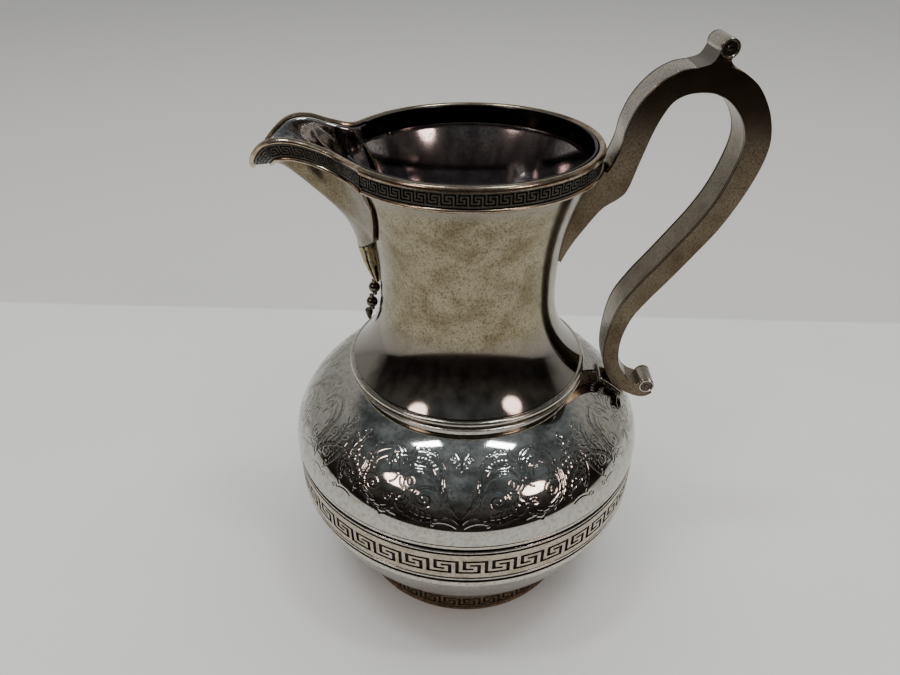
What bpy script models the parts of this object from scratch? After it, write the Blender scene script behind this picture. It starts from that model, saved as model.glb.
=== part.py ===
"""Silver water pitcher: a round-bellied jug with a spout, key-pattern bands and a box-section handle.

Metres, +Z up. The jug stands on z = 0, its spout points to -X and its handle to +X, and y = 0 is
its mirror plane. Each sub-part is one object, placed on the jug's axis, which lies at AXIS_X.
"""
import math

import bmesh
import bpy
from mathutils import Vector

# Clearance and sheet
GAP = 0.0003
WALL = 0.0012
TURN_STEPS = 40
SMALL_TURN_STEPS = 16
PROFILE_STEPS = 7

# Foot
FOOT_RADIUS = 0.0670
FOOT_DEPTH = 0.0022
FOOT_WIRE_HEIGHT = 0.0022
FOOT_BAND_HEIGHT = 0.0086
FOOT_COLLAR_HEIGHT = 0.0020

# Belly
BODY_RADIUS = 0.0965
BOWL_HEIGHT = 0.0505
BOWL_FULLNESS = 0.0900
BOWL_STEEPNESS = 0.86
FLOOR_SAG = 0.0030
LOWER_REED_HEIGHT = 0.0042
LOWER_FILLET_HEIGHT = 0.0030
KEY_BAND_HEIGHT = 0.0162
UPPER_FILLET_HEIGHT = 0.0026
UPPER_REED_HEIGHT = 0.0036
BAND_DEPTH = 0.0011
SHOULDER_HEIGHT = 0.0366
SHOULDER_CENTRE = 0.0365
SHOULDER_POWER = 1.8
COLLAR_HEIGHT = 0.0035

# Neck
NECK_BASE_RADIUS = 0.0608
NECK_WAIST_RADIUS = 0.0442
NECK_TOP_RADIUS = 0.0580
NECK_LOWER_HEIGHT = 0.0450
NECK_UPPER_HEIGHT = 0.0577
NECK_FILLET_HEIGHT = 0.0013
NECK_RING_HEIGHT = 0.0040
NECK_RING_DEPTH = 0.0026
NECK_UPPER_POWER = 2
NECK_LOWER_POWER = 2.6

# Rim
RIM_BAND_HEIGHT = 0.0060
RIM_BAND_DEPTH = 0.0010
RIM_WIRE_HEIGHT = 0.0019
RIM_WIRE_DEPTH = 0.0020
TOP_WIRE_HEIGHT = 0.0023
LINER_DEPTH = 0.0012
LINER_ANGLE = math.radians(26)

# Spout
SPOUT_REACH = 0.1015
SPOUT_HALF_WIDTH = 0.0179
SPOUT_RISE = 0.0051
SPOUT_DIP = 0.0090
SPOUT_ANGLE = math.radians(44)
SPOUT_DEPTH = 0.0500
SPOUT_FOOT_PROUD = 0.0072
SPOUT_FLARE_DEPTH = 0.0165
THROAT_HALF_WIDTH = 0.0240
THROAT_DEPTH = 0.0400

# Pendant under the spout
DROP_LENGTH = 0.0208
DROP_HALF_WIDTH = 0.0110
DROP_TIP_WIDTH = 0.0030
BEAD_RADIUS = 0.0030
BEAD_PITCH = 0.0088
TIP_LENGTH = 0.0075
DROP_ROOT = 0.0004
FLUTES = 4
FLUTE_DEPTH = 0.07

# Handle
HANDLE_REACH = 0.1279
HANDLE_RISE = 0.0335
HANDLE_HALF_WIDTH = 0.0100
HANDLE_END_HALF_WIDTH = 0.0073
HANDLE_PLATE = 0.0014
HANDLE_NARROWING = 0.32
HANDLE_FOOT_LEVEL = 0.70
HANDLE_FOOT_OUT = 0.015588
FOOT_SWING_FROM = 0.30
FOOT_SWING_TO = 0.75
BRACKET_DEPTH = 0.0445
BRACKET_DROP = 0.0016
BRACKET_BLEND = 0.0006
TOP_SCROLL_PLACE = 0.6245
TOP_SCROLL_STEM = 0.0019
LOWER_SCROLL_PLACE = 0.571
LOWER_SCROLL_STEM = 0.0012
TOP_SCROLL_RADIUS = 0.0039
LOWER_SCROLL_RADIUS = 0.0042
CAP_THICKNESS = 0.0010
SEAT_THICKNESS = 0.0010

# Heights and radii worked out from the sizes above
BAND_HEIGHTS = (LOWER_REED_HEIGHT, LOWER_FILLET_HEIGHT, KEY_BAND_HEIGHT,
                UPPER_FILLET_HEIGHT, UPPER_REED_HEIGHT)
FOOT_TOP = FOOT_WIRE_HEIGHT + FOOT_BAND_HEIGHT + FOOT_COLLAR_HEIGHT + 2 * GAP
BOWL_BASE = FOOT_TOP + GAP
BOWL_TOP = BOWL_BASE + BOWL_HEIGHT
BAND_TOP = BOWL_TOP + sum(BAND_HEIGHTS) + GAP * (len(BAND_HEIGHTS) + 1)
BELLY_RADIUS = BODY_RADIUS - BAND_DEPTH - GAP
SHOULDER_TOP = BAND_TOP + SHOULDER_HEIGHT
COLLAR_TOP = SHOULDER_TOP + COLLAR_HEIGHT
COLLAR_RADIUS = NECK_BASE_RADIUS + GAP
RING_BASE = COLLAR_TOP + NECK_FILLET_HEIGHT + 2 * GAP
NECK_BASE = RING_BASE + NECK_RING_HEIGHT + GAP
NECK_WAIST = NECK_BASE + NECK_LOWER_HEIGHT
NECK_TOP = NECK_WAIST + NECK_UPPER_HEIGHT
RIM_BAND_BASE = NECK_TOP + RIM_WIRE_HEIGHT + GAP
RIM_BAND_TOP = RIM_BAND_BASE + RIM_BAND_HEIGHT
RIM_TOP = RIM_BAND_TOP + GAP + TOP_WIRE_HEIGHT
RIM_RADIUS = NECK_TOP_RADIUS + GAP + RIM_WIRE_DEPTH
LINER_RADIUS = NECK_TOP_RADIUS - WALL - GAP
SEAM_ANGLE = SPOUT_ANGLE - GAP / NECK_TOP_RADIUS
HANDLE_TOP = RIM_TOP + HANDLE_RISE
HANDLE_BASE = BAND_TOP + HANDLE_FOOT_LEVEL * SHOULDER_HEIGHT
AXIS_X = (SPOUT_REACH - HANDLE_REACH) / 2

# The spout's lip from the rim to its tip: share of the way out, of the rim's width, of the half
# width, of the rise and of the dip.
SPOUT_LIP = (
    (0.000, 1.00, 1.00, 0.00, 0.00),
    (0.125, 0.60, 1.00, -0.06, 0.00),
    (0.255, 0.17, 1.00, -0.08, 0.00),
    (0.430, 0.00, 1.00, 0.48, 0.00),
    (0.620, 0.00, 1.00, 1.00, 0.00),
    (0.776, 0.00, 0.95, 0.76, 0.00),
    (0.898, 0.00, 0.70, 0.50, 0.46),
    (0.977, 0.00, 0.31, 0.10, 0.88),
    (1.000, 0.00, 0.00, 0.00, 1.00),
)
# The spout's lower edge: share of its angle, of its depth and of how proud it stands at the keel.
SPOUT_EDGE = (
    (1.00, 0.19, 0.00),
    (1.00, 0.34, 0.00),
    (0.91, 0.51, 0.00),
    (0.785, 0.66, 0.00),
    (0.68, 0.76, 0.00),
    (0.50, 0.845, 0.30),
    (0.33, 0.92, 0.64),
    (0.16, 0.975, 0.91),
    (0.00, 1.00, 1.00),
)
# How each line down the spout leaves the lip, and how it reaches the edge, in shares of its length.
SPOUT_LEAVE = (
    (0.00, 0.00, -0.33), (0.01, 0.04, -0.24), (-0.02, 0.02, -0.27),
    (-0.02, -0.04, -0.27), (-0.02, -0.06, -0.24), (-0.09, -0.07, -0.22),
    (-0.23, -0.06, -0.09), (-0.29, -0.03, 0.06), (-0.31, 0.00, 0.09),
)
SPOUT_ARRIVE = (
    (0.00, 0.00, 0.33), (0.13, -0.01, 0.22), (0.18, -0.03, 0.24),
    (0.17, -0.04, 0.24), (0.15, -0.05, 0.24), (0.10, -0.02, 0.29),
    (0.06, 0.00, 0.33), (0.035, 0.00, 0.37), (0.02, 0.00, 0.40),
)
# The handle's two edges in pairs, outer then inner, as shares from the rim to the handle's reach
# and from its foot to its top.
HANDLE_EDGES = (
    (0.012, 0.732, 0.161, 0.684),
    (0.074, 0.792, 0.210, 0.758),
    (0.096, 0.847, 0.266, 0.838),
    (0.152, 0.904, 0.318, 0.888),
    (0.251, 0.954, 0.365, 0.914),
    (0.370, 0.984, 0.429, 0.928),
    (0.500, 0.994, 0.500, 0.933),
    (0.566, 1.0085, 0.550, 0.933),
    (0.636, 1.0085, 0.592, 0.931),
    (0.655, 0.996, 0.620, 0.927),
    (0.740, 0.981, 0.675, 0.917),
    (0.850, 0.948, 0.735, 0.897),
    (0.940, 0.895, 0.795, 0.866),
    (0.990, 0.840, 0.833, 0.828),
    (1.000, 0.792, 0.840, 0.790),
    (0.972, 0.730, 0.818, 0.738),
    (0.908, 0.655, 0.763, 0.665),
    (0.821, 0.578, 0.685, 0.599),
    (0.720, 0.512, 0.590, 0.537),
    (0.561, 0.415, 0.441, 0.447),
    (0.447, 0.349, 0.328, 0.380),
    (0.345, 0.279, 0.223, 0.298),
    (0.296, 0.195, 0.182, 0.197),
    (0.306, 0.116, 0.187, 0.112),
    (0.352, 0.066, 0.235, 0.052),
)
# The toe curls under the lower scroll: angles of its upper and lower edges, and its depth.
TOE_TURNS = ((175, 216, 0.0058), (215, 234, 0.0044), (245, 253, 0.0035),
             (280, 277, 0.0027), (312, 310, 0.0018))
# The bracket below the rim: share of its height, and how far it reaches out from the neck.
BRACKET_EDGE = ((0, 0.0012), (0.2, 0.0034), (0.42, 0.0062), (0.7, 0.0098))
# The heel: place of its outer edge, and the share of the shoulder's height where it rests.
HANDLE_HEEL = ((0.405, 0.035, 0.76), (0.452, 0.018, 0.66))
SEAT_SPAN = (0.56, 0.86)
FRONT_STRIP_PAIRS = (0, 7)
BACK_STRIP_PAIRS = (9, 24)


def clear_scene():
    for old in list(bpy.data.objects):
        bpy.data.objects.remove(old)


def new_collection(name):
    collection = bpy.data.collections.new(name)
    bpy.context.scene.collection.children.link(collection)
    return collection


def metal(name, colour, roughness):
    material = bpy.data.materials.new(name)
    material.use_nodes = True
    shader = material.node_tree.nodes["Principled BSDF"]
    shader.inputs["Base Color"].default_value = (*colour, 1)
    shader.inputs["Metallic"].default_value = 1
    shader.inputs["Roughness"].default_value = roughness
    return material


clear_scene()
PITCHER = new_collection("water_pitcher")
CUTTERS = new_collection("cutters")
POLISHED = metal("polished_silver", (0.62, 0.61, 0.59), 0.14)
SATIN = metal("satin_silver", (0.46, 0.43, 0.37), 0.38)
BRIGHT = metal("bright_edge", (0.66, 0.64, 0.60), 0.25)
KEY_METAL = metal("key_pattern_silver", (0.36, 0.34, 0.30), 0.40)
DARK = metal("oxidised_silver", (0.05, 0.045, 0.04), 0.35)
BROWN = metal("brown_tarnish", (0.10, 0.075, 0.055), 0.45)
HANDLE_METAL = metal("handle_silver", (0.22, 0.20, 0.175), 0.34)


def add_object(name, mesh, material=None, collection=PITCHER, smooth=True):
    obj = bpy.data.objects.new(name, mesh)
    obj.location.x = AXIS_X
    collection.objects.link(obj)
    if material:
        mesh.materials.append(material)
    if smooth:
        mesh.shade_smooth()
        mesh.set_sharp_from_angle(angle=math.radians(35))
    return obj


# ---------------------------------------------------------------- curves through chosen points
def smooth_between(points, place):
    """A point on the smooth curve through the points; place counts them from 0."""
    last = len(points) - 1
    index = min(int(place), last - 1)
    share = place - index
    here, after = points[index], points[index + 1]
    before = points[index - 1] if index > 0 else 2 * here - after
    beyond = points[index + 2] if index + 2 <= last else 2 * after - here
    leave, arrive = (after - before) / 2, (beyond - here) / 2
    return (here * (2 * share ** 3 - 3 * share ** 2 + 1)
            + leave * (share ** 3 - 2 * share ** 2 + share)
            + after * (3 * share ** 2 - 2 * share ** 3)
            + arrive * (share ** 3 - share ** 2))


def smooth_run(points, first, last, steps_each):
    """Evenly numbered points along the curve, from one chosen point to another."""
    count = round((last - first) * steps_each)
    return [smooth_between(points, first + (last - first) * k / count) for k in range(count + 1)]


# ---------------------------------------------------------------- the jug's profiles
def bowl_point(share):
    """Down the bowl's outer side, from the lower reed to the foot."""
    top, middle, foot = BODY_RADIUS - BAND_DEPTH, BOWL_FULLNESS, FOOT_RADIUS - FOOT_DEPTH / 2
    radius = top * (1 - share) ** 2 + 2 * middle * share * (1 - share) + foot * share ** 2
    fall = BOWL_STEEPNESS * share + (1 - BOWL_STEEPNESS) * share ** 2
    height = BOWL_TOP - BOWL_HEIGHT * fall
    return radius, height


def shoulder_size():
    """The half width and the full height of the shoulder's superellipse."""
    reach = BODY_RADIUS - SHOULDER_CENTRE
    share = (COLLAR_RADIUS - SHOULDER_CENTRE) / reach
    return reach, SHOULDER_HEIGHT / (1 - share ** SHOULDER_POWER) ** (1 / SHOULDER_POWER)


def shoulder_radius(height):
    reach, full = shoulder_size()
    share = (height - BAND_TOP) / full
    return SHOULDER_CENTRE + reach * (1 - share ** SHOULDER_POWER) ** (1 / SHOULDER_POWER)


def shoulder_point(share):
    """Down the shoulder's outer side, from the collar to the upper reed."""
    reach, full = shoulder_size()
    end = math.asin((SHOULDER_HEIGHT / full) ** (SHOULDER_POWER / 2))
    angle = end * (1 - share)
    power = 2 / SHOULDER_POWER
    return (SHOULDER_CENTRE + reach * math.cos(angle) ** power,
            BAND_TOP + full * math.sin(angle) ** power)


def neck_radius(height):
    """The neck's outer radius: a waist that flares gently up and quickly down."""
    if height >= NECK_TOP:
        return NECK_TOP_RADIUS
    if height >= NECK_WAIST:
        share = (height - NECK_WAIST) / NECK_UPPER_HEIGHT
        return NECK_WAIST_RADIUS + (NECK_TOP_RADIUS - NECK_WAIST_RADIUS) * share ** NECK_UPPER_POWER
    share = (NECK_WAIST - height) / NECK_LOWER_HEIGHT
    return NECK_WAIST_RADIUS + (NECK_BASE_RADIUS - NECK_WAIST_RADIUS) * share ** NECK_LOWER_POWER


# ---------------------------------------------------------------- turned pieces
def turned(name, profile, material, closed=True, collection=PITCHER):
    """Spins a profile of (radius, height), which runs down its outer side, about the axis."""
    mesh = bpy.data.meshes.new(name)
    edges = [(k, k + 1) for k in range(len(profile) - 1)]
    if closed:
        edges.append((len(profile) - 1, 0))
    mesh.from_pydata([(radius, 0, height) for radius, height in profile], edges, [])
    obj = add_object(name, mesh, material, collection, smooth=False)
    screw = obj.modifiers.new("Turn", "SCREW")
    screw.steps = screw.render_steps = TURN_STEPS
    screw.use_merge_vertices = True
    screw.merge_threshold = 0.00001
    return obj


def solidify(obj, thickness, offset):
    shell = obj.modifiers.new("Sheet", "SOLIDIFY")
    shell.thickness = thickness
    shell.offset = offset
    shell.use_even_offset = True
    return obj


def flat_ring(inner, depth, bottom, height):
    return [(inner, bottom + height), (inner + depth, bottom + height),
            (inner + depth, bottom), (inner, bottom)]


def round_ring(inner, depth, bottom, height, points=5):
    """A half-round section, proud by its depth."""
    middle = bottom + height / 2
    angles = [math.pi / 2 - math.pi * k / (points - 1) for k in range(points)]
    return [(inner + depth * math.cos(angle), middle + height / 2 * math.sin(angle))
            for angle in angles]


def build_foot():
    inner = FOOT_RADIUS - FOOT_DEPTH
    chamfer = FOOT_WIRE_HEIGHT / 4
    turned("foot_wire", [(inner, FOOT_WIRE_HEIGHT), (FOOT_RADIUS - chamfer, FOOT_WIRE_HEIGHT),
                         (FOOT_RADIUS, FOOT_WIRE_HEIGHT - chamfer), (FOOT_RADIUS, chamfer),
                         (FOOT_RADIUS - chamfer, 0), (inner, 0)], BROWN)
    band_base = FOOT_WIRE_HEIGHT + GAP
    turned("foot_key_band", flat_ring(inner, FOOT_DEPTH - 2 * GAP, band_base, FOOT_BAND_HEIGHT),
           BROWN)
    turned("foot_collar", round_ring(inner, FOOT_DEPTH, band_base + FOOT_BAND_HEIGHT + GAP,
                                     FOOT_COLLAR_HEIGHT), BROWN)


def build_belly():
    side = [(BODY_RADIUS - BAND_DEPTH, BOWL_TOP)]
    side += [bowl_point(k / PROFILE_STEPS) for k in range(1, PROFILE_STEPS + 1)]
    inner = FOOT_RADIUS - FOOT_DEPTH
    floor = [(inner - 2 * GAP, BOWL_BASE), (0.9 * inner, BOWL_BASE - FLOOR_SAG / 2),
             (0.5 * inner, BOWL_BASE - FLOOR_SAG), (0, BOWL_BASE - FLOOR_SAG)]
    upright = [(BODY_RADIUS - BAND_DEPTH, BOWL_TOP - WALL)]
    profile = side[:1] + upright + side[1:] + floor
    solidify(turned("bowl", profile, POLISHED, closed=False), WALL, -1)
    wall = [(BELLY_RADIUS, BAND_TOP - GAP), (BELLY_RADIUS, BOWL_TOP + GAP)]
    solidify(turned("belly_wall", wall, POLISHED, closed=False), WALL, -1)


def build_belly_bands():
    inner = BELLY_RADIUS + GAP
    names = ("lower_reed", "lower_fillet", "key_band", "upper_fillet", "upper_reed")
    bottom = BOWL_TOP + GAP
    for name, height in zip(names, BAND_HEIGHTS):
        if name == "key_band":
            section, material = flat_ring(inner, BAND_DEPTH, bottom, height), KEY_METAL
        else:
            section, material = round_ring(inner, BAND_DEPTH, bottom, height), BRIGHT
        turned(name, section, material)
        bottom += height + GAP


def build_shoulder():
    steps = PROFILE_STEPS + 3
    side = [shoulder_point(k / steps) for k in range(steps + 1)]
    collar = [(COLLAR_RADIUS - GAP, COLLAR_TOP)]
    solidify(turned("shoulder", collar + side, POLISHED, closed=False), WALL, -1)


def build_neck():
    inner = NECK_BASE_RADIUS - WALL
    turned("neck_fillet", round_ring(inner, NECK_RING_DEPTH + WALL, COLLAR_TOP + GAP,
                                     NECK_FILLET_HEIGHT), BRIGHT)
    turned("neck_ring", round_ring(inner, NECK_RING_DEPTH + WALL - GAP, RING_BASE,
                                   NECK_RING_HEIGHT), BRIGHT)
    steps = range(PROFILE_STEPS + 1)
    lower = [NECK_WAIST - NECK_LOWER_HEIGHT * (k / PROFILE_STEPS) ** 0.75 for k in steps[1:]]
    upper = [NECK_TOP - NECK_UPPER_HEIGHT * k / PROFILE_STEPS for k in steps]
    outer = [(neck_radius(height), height) for height in [RIM_BAND_TOP] + upper + lower]
    inner_side = [(radius - WALL, height) for radius, height in reversed(outer)]
    return turned("neck", outer + inner_side, SATIN)


def build_rim():
    outside = NECK_TOP_RADIUS + GAP
    wire = turned("rim_lower_wire", round_ring(outside, RIM_WIRE_DEPTH, NECK_TOP,
                                               RIM_WIRE_HEIGHT), BRIGHT)
    band = turned("rim_key_band", flat_ring(outside, RIM_BAND_DEPTH, RIM_BAND_BASE,
                                            RIM_BAND_HEIGHT), DARK)
    middle = (LINER_RADIUS + GAP + RIM_RADIUS) / 2
    half = RIM_RADIUS - middle
    base = RIM_BAND_TOP + GAP
    angles = [math.pi - math.pi * k / 6 for k in range(7)]
    crown = [(middle + half * math.cos(angle), base + TOP_WIRE_HEIGHT * math.sin(angle))
             for angle in angles]
    top = turned("rim_top_wire", crown, BRIGHT)
    liner = turned("rim_liner", flat_ring(LINER_RADIUS - LINER_DEPTH, LINER_DEPTH,
                                          NECK_TOP + LINER_DEPTH, RIM_TOP - GAP * 2
                                          - NECK_TOP - LINER_DEPTH), DARK)
    return wire, band, top, liner


# ---------------------------------------------------------------- cutters
def outline_cutter(name, points, low, high, across):
    """A prism: the outline (a, b) is drawn across X or up Z, and filled between low and high."""
    bm = bmesh.new()
    place = {"Z": lambda a, b, c: (a, b, c), "X": lambda a, b, c: (c, a, b)}[across]
    bottom = [bm.verts.new(place(a, b, low)) for a, b in points]
    face = bm.faces.new(bottom)
    moved = bmesh.ops.extrude_face_region(bm, geom=[face])["geom"]
    shift = Vector(place(0, 0, high - low))
    bmesh.ops.translate(bm, vec=shift, verts=[v for v in moved if isinstance(v, bmesh.types.BMVert)])
    bmesh.ops.recalc_face_normals(bm, faces=bm.faces)
    mesh = bpy.data.meshes.new(name)
    bm.to_mesh(mesh)
    bm.free()
    cutter = add_object(name, mesh, None, CUTTERS, smooth=False)
    cutter.hide_render = True
    cutter.display_type = "WIRE"
    return cutter


def cut(obj, cutter):
    boolean = obj.modifiers.new("Cut", "BOOLEAN")
    boolean.operation = "DIFFERENCE"
    boolean.solver = "EXACT"
    boolean.object = cutter


def wedge(name, angle, low, high):
    """A wedge from the axis out towards the spout."""
    far = 2 * RIM_RADIUS
    side = far * math.tan(angle)
    return outline_cutter(name, [(0, 0), (-far, side), (-far, -side)], low, high, "Z")


def throat_cutter():
    """The round-ended opening in the neck, behind the spout."""
    low = RIM_BAND_TOP - THROAT_DEPTH
    middle = low + THROAT_HALF_WIDTH
    arc = [(-THROAT_HALF_WIDTH * math.cos(math.pi * k / 12),
            middle - THROAT_HALF_WIDTH * math.sin(math.pi * k / 12)) for k in range(13)]
    top = RIM_TOP + WALL
    points = arc + [(THROAT_HALF_WIDTH, top), (-THROAT_HALF_WIDTH, top)]
    return outline_cutter("throat_cutter", points, -2 * RIM_RADIUS, -NECK_WAIST_RADIUS / 2, "X")


def build_neck_and_rim():
    gap_angle = GAP / NECK_TOP_RADIUS
    neck = build_neck()
    wire, band, top, liner = build_rim()
    rim_cutter = wedge("rim_cutter", SPOUT_ANGLE + 2 * gap_angle, NECK_TOP - GAP, RIM_TOP + WALL)
    liner_cutter = wedge("liner_cutter", LINER_ANGLE, NECK_TOP - GAP, RIM_TOP + WALL)
    flare_cutter = wedge("flare_cutter", SPOUT_ANGLE + gap_angle,
                         RIM_BAND_TOP - SPOUT_FLARE_DEPTH, RIM_TOP + WALL)
    for piece in (wire, band, top):
        cut(piece, rim_cutter)
    cut(neck, flare_cutter)
    cut(liner, liner_cutter)
    cut(neck, throat_cutter())


# ---------------------------------------------------------------- spout
def around_neck(angle, radius, height):
    return Vector((-radius * math.cos(angle), radius * math.sin(angle), height))


def lip_points():
    """The sheet's upper edge, from the far side of the rim to the tip and back."""
    sheet_radius = NECK_TOP_RADIUS - WALL / 2
    start = around_neck(SEAM_ANGLE, sheet_radius, RIM_BAND_TOP)
    tip = SPOUT_REACH - RIM_WIRE_DEPTH - 2 * GAP
    points = []
    for out, flare, width, rise, dip in SPOUT_LIP:
        forward = -start.x + (tip + start.x) * out
        side = SPOUT_HALF_WIDTH * width + (start.y - SPOUT_HALF_WIDTH) * flare
        height = RIM_BAND_TOP + SPOUT_RISE * rise - SPOUT_DIP * dip
        points.append(Vector((-forward, side, height)))
    return points


def edge_points():
    """The sheet's lower edge, where it meets the neck, and below the keel where it stands off."""
    points = []
    for turn, down, proud in SPOUT_EDGE:
        height = RIM_BAND_TOP - SPOUT_DEPTH * down
        radius = neck_radius(height) + GAP + WALL * 0.6 + SPOUT_FOOT_PROUD * proud
        points.append(around_neck(SEAM_ANGLE * turn, radius, height))
    return points


def spout_line(lip, edge, leave, arrive, steps=120):
    """One line down the spout, from the lip to the lower edge, with the way travelled so far."""
    length = (edge - lip).length
    from_lip = lip + Vector((-leave[0], leave[1], leave[2])) * length
    from_edge = edge + Vector((-arrive[0], arrive[1], arrive[2])) * length
    points, travelled = [], [0]
    for k in range(steps + 1):
        t = k / steps
        points.append(lip * (1 - t) ** 3 + from_lip * 3 * t * (1 - t) ** 2
                      + from_edge * 3 * t ** 2 * (1 - t) + edge * t ** 3)
    for before, after in zip(points, points[1:]):
        travelled.append(travelled[-1] + (after - before).length)
    return points, travelled


def spout_lines():
    """The lines down the spout, from the far side round the tip to the near side."""
    half = [spout_line(*line) for line
            in zip(lip_points(), edge_points(), SPOUT_LEAVE, SPOUT_ARRIVE)]
    mirrored = [([Vector((p.x, -p.y, p.z)) for p in points], travelled)
                for points, travelled in reversed(half[:-1])]
    return half + mirrored


def on_line(line, distance):
    points, travelled = line
    for k in range(len(points) - 1):
        if travelled[k + 1] >= distance:
            share = (distance - travelled[k]) / (travelled[k + 1] - travelled[k])
            return points[k].lerp(points[k + 1], share)
    return points[-1]


def on_spout(lines, place, down):
    """A point on the spout's sheet: place counts the lines, down(line) is the distance from the lip."""
    return smooth_between([on_line(line, down(line)) for line in lines], place)


def outward_at(lines, place, distance):
    """The sheet's outward direction, from its neighbours."""
    step, last = 0.1, len(lines) - 1
    low, high = max(place - step, 0), min(place + step, last)
    along = (on_spout(lines, high, lambda line: distance)
             - on_spout(lines, low, lambda line: distance))
    down = (on_spout(lines, place, lambda line: distance + WALL)
            - on_spout(lines, place, lambda line: distance))
    return down.cross(along).normalized()


def sheet(name, rows, material):
    """An open surface through rows of points."""
    bm = bmesh.new()
    grid = [[bm.verts.new(point) for point in row] for row in rows]
    for row, after in zip(grid, grid[1:]):
        for k in range(len(row) - 1):
            bm.faces.new((row[k], after[k], after[k + 1], row[k + 1]))
    mesh = bpy.data.meshes.new(name)
    bm.to_mesh(mesh)
    bm.free()
    return add_object(name, mesh, material)


def lip_wire(name, lines, distance, out, section):
    """A wire that follows the lip at one distance from it, proud of the sheet."""
    mesh = bpy.data.meshes.new(name)
    bm = bmesh.new()
    rings = []
    last = len(lines) - 1
    for k in range(2 * last + 1):
        place = k / 2
        outward = outward_at(lines, place, max(distance, 0))
        centre = on_spout(lines, place, lambda line: max(distance, 0))
        below = on_spout(lines, place, lambda line: max(distance, 0) + WALL)
        down = (below - centre).normalized()
        centre = centre + outward * out + down * min(distance, 0)
        rings.append([bm.verts.new(centre + outward * a - down * b) for a, b in section])
    for ring, after in zip(rings, rings[1:]):
        for k in range(len(ring)):
            around = (k + 1) % len(ring)
            bm.faces.new((ring[k], ring[around], after[around], after[k]))
    bm.faces.new(reversed(rings[0]))
    bm.faces.new(rings[-1])
    bmesh.ops.recalc_face_normals(bm, faces=bm.faces)
    bm.to_mesh(mesh)
    bm.free()
    return add_object(name, mesh, BRIGHT)


def oval(half_width, half_height, points=6):
    return [(half_width * math.cos(2 * math.pi * k / points),
             half_height * math.sin(2 * math.pi * k / points)) for k in range(points)]


def build_spout():
    lines = spout_lines()
    last = len(lines) - 1
    places = [k / 2 for k in range(2 * last + 1)]
    band_rows = [[on_spout(lines, place, lambda line: distance) for place in places]
                 for distance in (0, RIM_BAND_HEIGHT)]
    rows = list(band_rows)
    for share in (0.15, 0.3, 0.45, 0.6, 0.8, 1):
        rows.append([on_spout(lines, place, lambda line: RIM_BAND_HEIGHT
                              + (line[1][-1] - RIM_BAND_HEIGHT) * share) for place in places])
    solidify(sheet("spout_shell", rows, SATIN), WALL, 0)

    outside = WALL / 2 + GAP
    offset = 2 * (outside + RIM_BAND_DEPTH / 2) / RIM_BAND_DEPTH
    solidify(sheet("spout_key_band", band_rows, DARK), RIM_BAND_DEPTH, offset)

    wire_half = RIM_WIRE_HEIGHT / 2
    proud = RIM_WIRE_DEPTH / 2
    lip_wire("spout_lower_wire", lines, RIM_BAND_HEIGHT + GAP + wire_half, outside + proud,
             oval(proud, wire_half))
    width = (RIM_WIRE_DEPTH + GAP + WALL) / 2
    lip_wire("spout_lip_wire", lines, -GAP - TOP_WIRE_HEIGHT / 2, width - WALL / 2,
             oval(width, TOP_WIRE_HEIGHT / 2))


# ---------------------------------------------------------------- pendant under the spout
def drop_top(angle):
    """The height of the spout's lower edge at an angle from the keel."""
    points = edge_points()
    for upper, lower in zip(points[4:], points[5:]):
        turn_a, turn_b = (math.atan2(p.y, -p.x) for p in (upper, lower))
        if turn_b <= angle <= turn_a:
            return lower.z + (upper.z - lower.z) * (angle - turn_b) / (turn_a - turn_b)
    return points[-1].z


def drop_ring(share, columns=15):
    """One fluted slice of the pendant: its front, then its back against the neck."""
    keel = edge_points()[-1]
    bottom = keel.z - DROP_LENGTH
    half_width = DROP_TIP_WIDTH + (DROP_HALF_WIDTH - DROP_TIP_WIDTH) * (1 - share) ** 1.5
    proud = BEAD_RADIUS + SPOUT_FOOT_PROUD * 0.65 * (1 - share ** 2)
    front, back = [], []
    for k in range(columns):
        across = k / (columns - 1)
        turn = math.pi * (across - 0.5)
        flute = 1 - FLUTE_DEPTH * (1 - math.cos(2 * math.pi * FLUTES * across)) / 2
        side = half_width * math.sin(turn) * (1 - FLUTE_DEPTH + FLUTE_DEPTH * flute)
        angle = side / NECK_WAIST_RADIUS
        top = drop_top(abs(angle)) - 2 * GAP - WALL / 4
        height = top + (bottom - top) * share
        inner = neck_radius(height) + 2 * GAP
        front.append(around_neck(angle, inner + DROP_ROOT + proud * math.cos(turn) * flute, height))
        back.append(around_neck(angle, inner, height))
    return front + list(reversed(back))


def loft(name, rings, material):
    """A closed body through rings of points, with flat ends."""
    bm = bmesh.new()
    grid = [[bm.verts.new(point) for point in ring] for ring in rings]
    for ring, after in zip(grid, grid[1:]):
        for k in range(len(ring)):
            around = (k + 1) % len(ring)
            bm.faces.new((ring[k], ring[around], after[around], after[k]))
    for end in (grid[0], grid[-1]):
        half = len(end) // 2
        for k in range(half - 1):
            bm.faces.new((end[k], end[k + 1], end[-k - 2], end[-k - 1]))
    bmesh.ops.recalc_face_normals(bm, faces=bm.faces)
    mesh = bpy.data.meshes.new(name)
    bm.to_mesh(mesh)
    bm.free()
    return add_object(name, mesh, material)


def turn_coarsely(obj):
    screw = obj.modifiers["Turn"]
    screw.steps = screw.render_steps = SMALL_TURN_STEPS


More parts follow.
